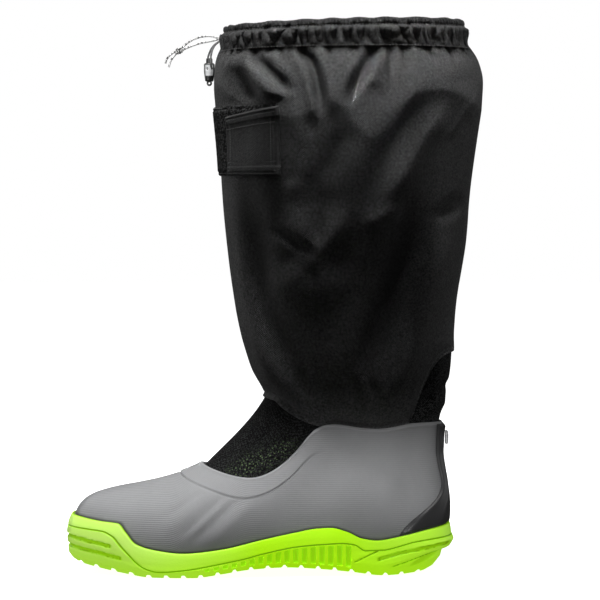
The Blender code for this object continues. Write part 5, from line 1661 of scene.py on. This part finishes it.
def build_patch(settings):
    """Loop patch: a plate round the front with a woven edge and a matted pile of small lumps."""
    across, up = np.meshgrid(np.linspace(0, 1, 190), np.linspace(0, 1, 96))
    turn = PATCH_TURN[0] + (PATCH_TURN[1] - PATCH_TURN[0]) * across
    height = PATCH_HEIGHT[0] + (PATCH_HEIGHT[1] - PATCH_HEIGHT[0]) * up
    border = from_edge(across, up, PATCH_SIZE)
    lumps = np.sin(turn * 5.1 + np.sin(height * 1.9)) * np.sin(height * 3.3 + 1.3 * np.sin(turn * 3.7))
    pile = ease(2.6, 3.6, border)
    lift = PATCH_THICK - 0.5 * (1 - pile) + 0.22 * lumps * pile - 0.6 * (1 - ease(0.0, 0.8, border))
    outer = shaft_face(turn, height, PATCH_SEAT + lift)
    points, quads = slab(outer, shaft_face(turn, height, PATCH_SEAT - 0.5))
    made = piece("loop_panel", points, quads, pile_material(settings.pile))
    return settle(made, "loop_fastener", "loop_patch")


def build_flap(settings):
    """Closure flap: woven tape with turned bands at its top and bottom and a rounded border."""
    across, up = np.meshgrid(np.linspace(0, 1, 90), np.linspace(0, 1, 110))
    turn, height = flap_place(across, up)
    wide, tall = FLAP_SIZE
    border = from_edge(across, up, FLAP_SIZE)
    bands = 0.55 * (ease(0.84, 0.865, up) + 1 - ease(0.135, 0.16, up))
    dent = 0.35 * np.exp(-(((border - 3.0) / 0.7) ** 2)) + 1.2 * (1 - ease(0.0, 1.5, border))
    sag = 0.5 * np.sin(np.pi * across) * np.sin(2.2 * np.pi * up)
    outer = shaft_face(turn, height, FLAP_SEAT + FLAP_THICK - 0.2 + bands - dent + 0.4 * sag)
    points, quads = slab(outer, shaft_face(turn, height, FLAP_SEAT + 0 * turn))
    size = np.stack([across * wide, up * tall], axis=-1).reshape(-1, 2)
    uv = np.concatenate([size, size])[quads]
    cloth = cloth_material("black_woven_tape", settings.tape, FLAP_PITCH, 0.58)
    return settle(piece("closure_flap", points, quads, cloth, uv=uv), "tab_webbing", "closure_tab")


def along_line(line, pitch):
    """Even places on a line of points, with the direction of the line at each."""
    length = run_along(line)
    at = np.arange(pitch / 2, length[-1], pitch)
    places = np.stack([np.interp(at, length, line[:, axis]) for axis in range(3)], axis=1)
    ahead = np.stack([np.interp(at + 0.3, length, line[:, axis]) for axis in range(3)], axis=1)
    return places, ahead - places + 1e-6


def build_stitching(settings):
    """Stitches of the flap's border and bands, the loop panel's edges and the hem's two seams."""
    share = np.linspace(0, 1, 60)
    flat = np.zeros(60)
    rows = []
    seat = FLAP_SEAT + FLAP_THICK - 0.3
    for across, up, lift in (
        (0.075 + flat, share, seat), (0.925 + flat, share, seat), (share, 0.955 + flat, seat + 0.4),
        (share, 0.80 + flat, seat), (share, 0.045 + flat, seat + 0.4), (share, 0.19 + flat, seat),
    ):
        turn, height = flap_place(0.06 + 0.88 * across, 0.04 + 0.92 * up)
        rows.append((shaft_face(turn, height, lift + 0 * turn), 1.9))
    patch_turn = PATCH_TURN[0] + 35.0 + (PATCH_TURN[1] - PATCH_TURN[0] - 36.5) * share
    for height in (PATCH_HEIGHT[0] + 1.4, PATCH_HEIGHT[1] - 1.4):
        rows.append((shaft_face(patch_turn, height + flat, PATCH_SEAT + PATCH_THICK - 0.5 + flat), 2.0))
    turn = np.linspace(0, TAU, HEM_STEPS)
    angle = turned_angle(np.clip(turn, 0, TAU - 1e-6))
    for height, lift in HEM_STITCHES:
        level = np.full(HEM_STEPS, height)
        gather = 0.4 * settings.gather_depth / MM * (gathers(turn, (level - HEM_MIDDLE) / HEM_HALF) - 0.75)
        line = shaft_ring(angle, level, 0.0) + shaft_out(angle, level) * (lift + gather)[:, None]
        rows.append((line, 2.6))
    points, quads, count = [], [], 0
    for line, pitch in rows:
        centres, along = along_line(line, pitch)
        outward = (centres - SHAFT_MIDDLE) * (1, 1, 0)
        more, faces = stitch_row(centres, along, outward, pitch * STITCH_SHARE, STITCH_RADIUS)
        points.append(more)
        quads.append(faces + count)
        count += len(more)
    thread = rubber_material("black_stitch_thread", settings.thread, 0.5, 0.7, 2000.0, 0.1)
    made = piece("seam_stitching", np.concatenate(points), np.concatenate(quads), thread)
    return settle(made, "shaft_cloth")


# Draw cord and cord lock
def cord_piece(name, route, material, nodes):
    """Free cord along a smooth route."""
    path = smooth_route(route, CORD_STEP)
    made = cord_mesh(name, path, 14, material)
    settle(made, "cord", *nodes)
    return made


def cord_mesh(name, path, sides, material):
    """Tube of the cord's thickness along a path, with one UV point for its caps."""
    points, quads, caps, uv = swept(path, CORD / 2, sides)
    cap_uv = np.full((len(caps) * 3, 2), 0.5)
    if volume(points, quads, caps) < 0:
        quads, caps, uv = quads[:, ::-1], caps[:, ::-1], uv[:, ::-1]
    return piece(name, points, quads, material, tris=caps, uv=np.concatenate([uv.reshape(-1, 2), cap_uv]))


def build_cords(settings):
    """Draw cord in two strands that meet in a knot, and the loop that holds the cord lock."""
    pale = cord_material("pale_braided_cord", settings.cord, settings.fleck, 1.6)
    dark = cord_material("dark_elastic_cord", settings.elastic, settings.fleck, 1.2)
    turn = np.linspace(0, 1, 90)
    axis = unit(np.array((-5.2, -0.3, -3.4)))
    side = unit(np.cross(axis, (0.0, 1.0, 0.0)))
    over = np.cross(axis, side)
    phase = (turn * KNOT_TURNS * TAU)[:, None]
    radius = (2.1 * np.sin(np.pi * np.clip(turn, 0.08, 0.92)) ** 0.3)[:, None]
    middle = np.array(KNOT_CENTRE)
    coil = middle + axis * (turn[:, None] - 0.5) * 5.0
    coil = coil + radius * (side * np.cos(phase) + over * np.sin(phase))
    knot = cord_mesh("tied_knot", coil, 12, pale)
    settle(knot, "cord", "drawcord_knot")
    cord_piece(
        "draw_cord_long", LONG_CORD, pale, ("drawcord_upper_strand", "drawcord_long_tail"))
    cord_piece("draw_cord_short", SHORT_CORD, pale, ("drawcord_lower_strand", "drawcord_short_tail"))
    cord_piece("lock_loop", LOCK_LOOP, dark, ("lock_loop_near", "lock_loop_far"))


def build_eyelet(settings):
    """Eyelet: a flattened ring that faces the toe, with a rolled inner lip."""
    turn, round_turn = np.meshgrid(full_turn(64), full_turn(20))
    major, wide, deep = EYELET_RING
    radius = major + wide * np.cos(round_turn)
    reach = deep * np.sin(round_turn) * (1 + 0.25 * np.cos(round_turn))
    x = EYELET_CENTRE[0] - reach
    rings = np.stack([x, radius * np.cos(turn), EYELET_CENTRE[2] + radius * np.sin(turn)], axis=-1)
    made = tube_skin("hem_eyelet", rings, metal_material(settings.eyelet))
    return settle(made, "eyelet_metal", "cord_eyelet")


def turned_about(points, place, degrees):
    """Points turned round an upright axis and moved to it."""
    turn = math.radians(degrees)
    x = points[:, 0] * math.cos(turn) - points[:, 1] * math.sin(turn)
    y = points[:, 0] * math.sin(turn) + points[:, 1] * math.cos(turn)
    return np.stack([x + place[0], y + place[1], points[:, 2]], axis=1)


def build_lock(settings):
    """Cord lock: a tapered barrel with pale faces, a hung eye below, and a ribbed plunger."""
    sides = 96
    turn = full_turn(sides)
    outer_z = np.concatenate([[LOCK_BOTTOM, LOCK_BOTTOM + 0.15, LOCK_BOTTOM + 0.5],
                              np.linspace(LOCK_BOTTOM + 1.0, LOCK_TOP - 0.8, 40),
                              [LOCK_TOP - 0.35, LOCK_TOP - 0.1, LOCK_TOP]])
    corner = np.minimum(outer_z - LOCK_BOTTOM, LOCK_TOP - outer_z)
    radius = LOCK_RADIUS - 0.7 * (1 - ease(0.0, 0.9, corner))
    narrower, taper_height = LOCK_TAPER
    taper = 1 - narrower * (1 - ease(LOCK_BOTTOM, LOCK_BOTTOM + taper_height, outer_z))
    face = np.abs(np.cos(turn))
    broad = np.abs(np.sin(turn + math.radians(LOCK_TURN)))
    height = between(outer_z, *LOCK_PANEL)
    panel = ease(0.6, 0.72, broad)[None] * height[:, None]
    hole_radius, hole_z = LOCK_HOLE
    across = LOCK_RADIUS * np.cos(turn)[None]
    hole = np.hypot(across, outer_z[:, None] - hole_z)
    bored = (1 - ease(hole_radius * 0.85, hole_radius * 1.1, hole)) * (face < 0.6)[None]
    reach = (radius * taper)[:, None] - 0.35 * panel - 0.9 * bored
    outer = np.stack([reach * np.cos(turn), reach * np.sin(turn), outer_z[:, None] + 0 * reach], -1)
    bore = np.stack([np.stack([LOCK_BORE * np.cos(turn), LOCK_BORE * np.sin(turn), z + 0 * turn], -1)
                     for z in (LOCK_TOP - 0.1, 390.0, 386.0, LOCK_FLOOR)])
    rings = np.concatenate([outer, bore])
    quads, _ = grid_corners(len(rings), sides, False, True)
    points = np.concatenate([rings.reshape(-1, 3), [(0, 0, LOCK_BOTTOM), (0, 0, LOCK_FLOOR)]])
    marks = np.concatenate([panel.ravel(), np.zeros(4 * sides + 2)])
    ring_radius, thick, deep, eye_z = LOCK_EYE
    small, large = np.meshgrid(full_turn(14), full_turn(40))
    eye_radius = ring_radius + thick * np.cos(small)
    eye = np.stack([eye_radius * np.cos(large), deep * np.sin(small), eye_z + eye_radius * np.sin(large)], -1)
    eye_quads, _ = grid_corners(*eye.shape[:2], True, True)
    every = np.concatenate([points, turned_about(eye.reshape(-1, 3), (0, 0), -LOCK_TURN)])
    quads = np.concatenate([quads, eye_quads[:, ::-1] + len(points)])
    marks = np.concatenate([marks, np.zeros(eye.shape[0] * eye.shape[1])])
    plastic = lock_material("lock_plastic", settings.black, settings.grey)
    barrel = piece("lock_barrel", turned_about(every, LOCK_AXIS, LOCK_TURN), quads, plastic,
                   tris=end_fans(len(rings), sides), marks={"panel": marks})
    settle(barrel, "lock_black", "cord_lock_barrel")
    build_plunger(plastic)


def build_plunger(plastic):
    """Plunger: a ribbed head over two legs that leave a slot for the cord."""
    low, high = PLUNGER_SPAN
    start = PLUNGER_HEAD
    profile = [(PLUNGER_RADIUS - 0.1, start), (PLUNGER_RADIUS, start + 0.2)]
    profile += [(PLUNGER_RADIUS - 0.12 * (step % 2), start + 0.5 + 0.3 * step) for step in range(10)]
    crown = ((0.15, 0.6), (0.5, 0.2), (1.0, 0.0))
    profile += [(PLUNGER_RADIUS - inset, high - drop) for inset, drop in crown]
    points, quads, tris = lathe(profile, 64)
    limit = math.acos(PLUNGER_SLOT_WIDTH / 2 / PLUNGER_RADIUS)
    bend = np.linspace(-limit, limit, 19)
    leg = np.stack([PLUNGER_RADIUS * np.cos(bend), PLUNGER_RADIUS * np.sin(bend)], axis=-1)
    columns = len(leg)
    every_points, every_quads, every_tris = [points], [quads], [tris]
    for side in (1, -1):
        count = sum(len(block) for block in every_points)
        rings = np.array([np.column_stack([leg * side, np.full(columns, z)]) for z in (low, start + 0.2)])
        ends = np.array([np.append(rings[k].mean(axis=0)[:2], rings[k, 0, 2]) for k in (0, 1)])
        sides_of, _ = grid_corners(2, columns, False, True)
        every_points.append(np.concatenate([rings.reshape(-1, 3), ends]))
        every_quads.append(sides_of + count)
        every_tris.append(end_fans(2, columns) + count)
    placed = turned_about(np.concatenate(every_points), LOCK_AXIS, LOCK_TURN)
    made = piece("lock_plunger", placed, np.concatenate(every_quads), plastic,
                 tris=np.concatenate(every_tris), marks={"panel": np.zeros(len(placed))})
    settle(made, "lock_grey", "cord_lock_plunger", body="lock_button")


# Stage
# Name, place, point it looks at, size, spread in degrees and the setting that holds its power
LIGHTS = (
    ("overhead", (-0.12, -0.24, 2.0), (0.0, 0.0, 0.2), (0.5, 0.5), 180.0, "top_light"),
    ("crown", (0.06, -0.6, 2.2), (0.06, -0.05, 0.41), (0.3, 0.05), 3.4, "crown_light"),
    ("cord_fill", (-0.9, -1.6, 0.45), (-0.062, 0.0, 0.396), (0.03, 0.03), 2.2, "cord_light"),
    ("toe_side", (-1.65, 0.95, 0.5), (0.0, 0.0, 0.2), (1.5, 1.0), 180.0, "toe_light"),
    ("heel_side", (1.78, 0.65, 0.5), (0.0, 0.0, 0.2), (1.5, 1.0), 180.0, "heel_light"),
    ("shoe_fill", (-0.6, -1.7, 0.09), (0.02, 0.0, 0.071), (0.5, 0.04), 4.2, "shoe_light"),
)


def soft_light(name, place, aim, size, spread, power):
    """Rectangular soft light that looks at a point, with a grid where its spread in degrees is narrow."""
    data = bpy.data.lights.new(name, "AREA")
    data.energy = power
    data.shape = "RECTANGLE"
    data.size, data.size_y = size
    data.spread = math.radians(spread)
    lamp = bpy.data.objects.new(name, data)
    toward = np.array(aim) - np.array(place)
    lamp.location = place
    tilt = math.acos(-toward[2] / np.linalg.norm(toward))
    lamp.rotation_euler = (tilt, 0.0, math.atan2(-toward[0], toward[1]))
    bpy.context.scene.collection.objects.link(lamp)


def build_camera():
    """Camera at the photograph's place, level but for a small downward tilt."""
    data = bpy.data.cameras.new("view")
    data.lens = CAMERA_LENS
    data.clip_end = 50.0
    camera = bpy.data.objects.new("view", data)
    camera.location = CAMERA_PLACE
    camera.rotation_euler = (math.radians(90.0 - CAMERA_TILT), 0.0, 0.0)
    bpy.context.scene.collection.objects.link(camera)
    bpy.context.scene.camera = camera


def build_floor(settings):
    """Pale floor that the eye sees as bright paper, and that throws back less light than it shows."""
    bpy.ops.mesh.primitive_grid_add(x_subdivisions=2, y_subdivisions=2, size=14.0, location=(0, 0, -0.0004))
    floor = bpy.context.object
    floor.name = "pale_floor"
    material, tree, shader = new_material("pale_floor_paper", Roughness=0.95, Specular_IOR_Level=0.0)
    rays = add(tree, "ShaderNodeLightPath").outputs["Is Camera Ray"]
    tree.links.new(blend(tree, rays, settings.bounce, settings.floor), shader.inputs["Base Color"])
    shader.inputs["Emission Color"].default_value = (1, 1, 1, 1)
    glow = calc(tree, "MULTIPLY", rays, settings.floor_glow)
    tree.links.new(glow, shader.inputs["Emission Strength"])
    floor.data.materials.append(material)


def build_sky(settings):
    """White surround for the eye, and a softer dome, brighter overhead, for the light."""
    world = bpy.data.worlds.new("studio")
    world.use_nodes = True
    bpy.context.scene.world = world
    tree = world.node_tree
    back = tree.nodes["Background"]
    back.inputs["Color"].default_value = (1, 1, 1, 1)
    rays = add(tree, "ShaderNodeLightPath").outputs["Is Camera Ray"]
    up = add(tree, "ShaderNodeSeparateXYZ", {"Vector": add(tree, "ShaderNodeTexCoord").outputs["Generated"]})
    rise = mapped(tree, up.outputs["Z"], 0.0, 1.0, settings.horizon, settings.zenith)
    lit = calc(tree, "MULTIPLY", rise, calc(tree, "SUBTRACT", 1.0, rays))
    tree.links.new(calc(tree, "MAXIMUM", rays, lit), back.inputs["Strength"])


# Settings, operators and panel
def length_setting(name, description, default):
    """A size in metres for a settings group."""
    return bpy.props.FloatProperty(
        name=name, description=description, default=default, unit="LENGTH", precision=4)


def colour_setting(name, description, default):
    """A linear colour for a settings group."""
    return bpy.props.FloatVectorProperty(
        name=name, description=description, default=default, subtype="COLOR", size=3, min=0.0, max=1.0)


def number_setting(name, description, default):
    """A plain factor for a settings group."""
    return bpy.props.FloatProperty(name=name, description=description, default=default, min=0.0)


class BootSoleSettings(bpy.types.PropertyGroup):
    """Sizes and colours of the sole"""
    rubber: colour_setting("Rubber", "Colour of the cupsole", (0.45, 0.93, 0.006))
    # Pale is the colour of the highlight painted on the cupsole's toe and heel; glow is the strength of the
    # glow painted on the rubber for its fluorescence.
    pale: colour_setting("Pale", "Paler colour of the cupsole's ends", (0.45, 0.72, 0.115))
    glow: number_setting("Glow", "Strength of the rubber's fluorescence", 0.46)
    cover: colour_setting("Insole cover", "Colour of the insole's cloth", (0.03, 0.03, 0.03))
    lug_depth: length_setting("Lug depth", "Depth of the slots between the lugs", 0.0023)
    line_depth: length_setting("Line depth", "Depth of the line moulded round the side", 0.0009)
    window_depth: length_setting("Window depth", "Depth of the upright windows", 0.0017)


class BootShoeSettings(bpy.types.PropertyGroup):
    """Sizes and colours of the shoe"""
    textile: colour_setting("Textile", "Colour of the shoe's upper", (0.256, 0.258, 0.263))
    stay: colour_setting("Heel stay", "Colour of the heel stay", (0.041, 0.041, 0.042))
    tape: colour_setting("Heel tape", "Colour of the small heel tape", (0.55, 0.55, 0.56))
    mesh: colour_setting("Mesh", "Colour of the bootie's mesh", (0.0062, 0.0064, 0.0064))
    # Painted glints in the mesh's holes take this colour.
    glint: colour_setting("Under mesh", "Colour of the layer under the mesh", (0.12, 0.175, 0.08))
    band_raise: length_setting("Band", "Height of the collar band over the side", 0.0008)
    rib_pitch: length_setting("Rib pitch", "Distance between the textile's ribs", 0.00155)


class BootShaftSettings(bpy.types.PropertyGroup):
    """Sizes and colours of the shaft"""
    cloth: colour_setting("Cloth", "Colour of the shaft's twill", (0.047, 0.047, 0.0472))
    hem: colour_setting("Hem", "Colour of the gathered hem", (0.044, 0.044, 0.0442))
    pile: colour_setting("Loop pile", "Colour of the loop panel", (0.017, 0.017, 0.017))
    tape: colour_setting("Flap tape", "Colour of the closure flap", (0.018, 0.018, 0.0182))
    thread: colour_setting("Thread", "Colour of the stitches", (0.13, 0.13, 0.13))
    gather_depth: length_setting("Gathers", "Depth of the gathers of the hem", 0.0048)
    fold_scale: number_setting("Folds", "Depth of the shaft's folds", 1.0)


class BootCordSettings(bpy.types.PropertyGroup):
    """Colours of the draw cord and its lock"""
    cord: colour_setting("Cord", "Colour of the draw cord", (0.86, 0.86, 0.85))
    fleck: colour_setting("Flecks", "Colour of the cord's tracer flecks", (0.1, 0.1, 0.1))
    elastic: colour_setting("Loop", "Colour of the lock's loop", (0.2, 0.2, 0.2))
    eyelet: colour_setting("Eyelet", "Colour of the eyelet", (0.03, 0.03, 0.03))
    black: colour_setting("Lock black", "Dark colour of the cord lock", (0.014, 0.014, 0.014))
    grey: colour_setting("Lock grey", "Pale colour of the cord lock's panels", (0.86, 0.87, 0.88))


class BootStageSettings(bpy.types.PropertyGroup):
    """Floor and light"""
    floor: colour_setting("Floor", "Colour of the floor", (0.92, 0.92, 0.92))
    bounce: colour_setting("Bounce", "Colour that the floor throws back", (0.03, 0.03, 0.03))
    floor_glow: number_setting("Floor glow", "Brightness that the floor shows of its own", 0.93)
    horizon: number_setting("Horizon", "Brightness of the surround at the horizon", 0.035)
    zenith: number_setting("Zenith", "Brightness of the surround overhead", 0.15)
    top_light: number_setting("Top light", "Power of the light overhead in watts", 42.0)
    crown_light: number_setting("Crown light", "Power of the narrow light over the hem in watts", 0.05)
    cord_light: number_setting("Cord light", "Power of the light on the cord and its lock in watts", 0.004)
    toe_light: number_setting("Toe light", "Power of the light on the toe side in watts", 7.4)
    shoe_light: number_setting("Shoe light", "Power of the narrow light on the shoe in watts", 0.1)
    heel_light: number_setting("Heel light", "Power of the light on the heel side in watts", 4.2)


class BootOperator:
    """What the boot's operators share: they build their pieces and raise if they can't"""
    bl_options = {"REGISTER", "UNDO"}

    def execute(self, context):
        self.build(context.scene)
        return {"FINISHED"}


class SAILING_BOOT_OT_stage(BootOperator, bpy.types.Operator):
    """Set the camera, the pale floor and the studio light"""
    bl_idname = "sailing_boot.stage"
    bl_label = "Stage"

    def build(self, scene):
        settings = scene.boot_stage
        scene.view_settings.view_transform = "Standard"
        build_camera()
        build_floor(settings)
        build_sky(settings)
        for name, place, aim, size, spread, power in LIGHTS:
            soft_light(name, place, aim, size, spread, getattr(settings, power))


class SAILING_BOOT_OT_cords(BootOperator, bpy.types.Operator):
    """Lay the draw cord and hang its lock"""
    bl_idname = "sailing_boot.cords"
    bl_label = "Cords and lock"

    def build(self, scene):
        build_cords(scene.boot_cord)
        build_eyelet(scene.boot_cord)
        build_lock(scene.boot_cord)


class SAILING_BOOT_OT_sole(BootOperator, bpy.types.Operator):
    """Mould the cupsole and lay the insole in it"""
    bl_idname = "sailing_boot.sole"
    bl_label = "Sole"

    def build(self, scene):
        build_outsole(scene.boot_sole)
        build_insole(scene.boot_sole)


class SAILING_BOOT_OT_shoe(BootOperator, bpy.types.Operator):
    """Shape the upper with its heel stay and tape"""
    bl_idname = "sailing_boot.shoe"
    bl_label = "Shoe"

    def build(self, scene):
        build_upper(scene.boot_shoe)
        build_heel_stay(scene.boot_shoe)
        build_heel_tab(scene.boot_shoe)


class SAILING_BOOT_OT_bootie(BootOperator, bpy.types.Operator):
    """Pull the mesh bootie up inside the collar"""
    bl_idname = "sailing_boot.bootie"
    bl_label = "Bootie"

    def build(self, scene):
        build_bootie(scene.boot_shoe)


class SAILING_BOOT_OT_shaft(BootOperator, bpy.types.Operator):
    """Drape the shaft and gather its hem"""
    bl_idname = "sailing_boot.shaft"
    bl_label = "Shaft"

    def build(self, scene):
        build_shaft(scene.boot_shaft)
        build_casing(scene.boot_shaft)


class SAILING_BOOT_OT_closure(BootOperator, bpy.types.Operator):
    """Sew on the loop panel and the closure flap, and stitch the seams"""
    bl_idname = "sailing_boot.closure"
    bl_label = "Closure and stitches"

    def build(self, scene):
        build_patch(scene.boot_shaft)
        build_flap(scene.boot_shaft)
        build_stitching(scene.boot_shaft)


OPERATORS = (
    SAILING_BOOT_OT_stage, SAILING_BOOT_OT_cords, SAILING_BOOT_OT_sole, SAILING_BOOT_OT_shoe,
    SAILING_BOOT_OT_bootie, SAILING_BOOT_OT_shaft, SAILING_BOOT_OT_closure,
)
SETTINGS = {
    "boot_sole": BootSoleSettings, "boot_shoe": BootShoeSettings, "boot_shaft": BootShaftSettings,
    "boot_cord": BootCordSettings, "boot_stage": BootStageSettings,
}


class SAILING_BOOT_PT_panel(bpy.types.Panel):
    """Lists the boot's operators and settings"""
    bl_idname = "SAILING_BOOT_PT_panel"
    bl_label = "Sailing boot"
    bl_space_type = "VIEW_3D"
    bl_region_type = "UI"
    bl_category = "Sailing boot"

    def draw(self, context):
        for operator in OPERATORS:
            self.layout.operator(operator.bl_idname)
        for name, kind in SETTINGS.items():
            box = self.layout.box()
            for key in kind.__annotations__:
                box.prop(getattr(context.scene, name), key)


def register():
    """Registers the settings, operators and panel."""
    for name, kind in SETTINGS.items():
        bpy.utils.register_class(kind)
        setattr(bpy.types.Scene, name, bpy.props.PointerProperty(type=kind))
    for kind in (*OPERATORS, SAILING_BOOT_PT_panel):
        bpy.utils.register_class(kind)


def unregister():
    """Takes them out again."""
    for kind in (SAILING_BOOT_PT_panel, *reversed(OPERATORS)):
        bpy.utils.unregister_class(kind)
    for name, kind in reversed(SETTINGS.items()):
        delattr(bpy.types.Scene, name)
        bpy.utils.unregister_class(kind)


def main():
    register()
    for name in ("stage", "cords", "sole", "shoe", "bootie", "shaft", "closure"):
        getattr(bpy.ops.sailing_boot, name)()


if __name__ == "__main__":
    main()
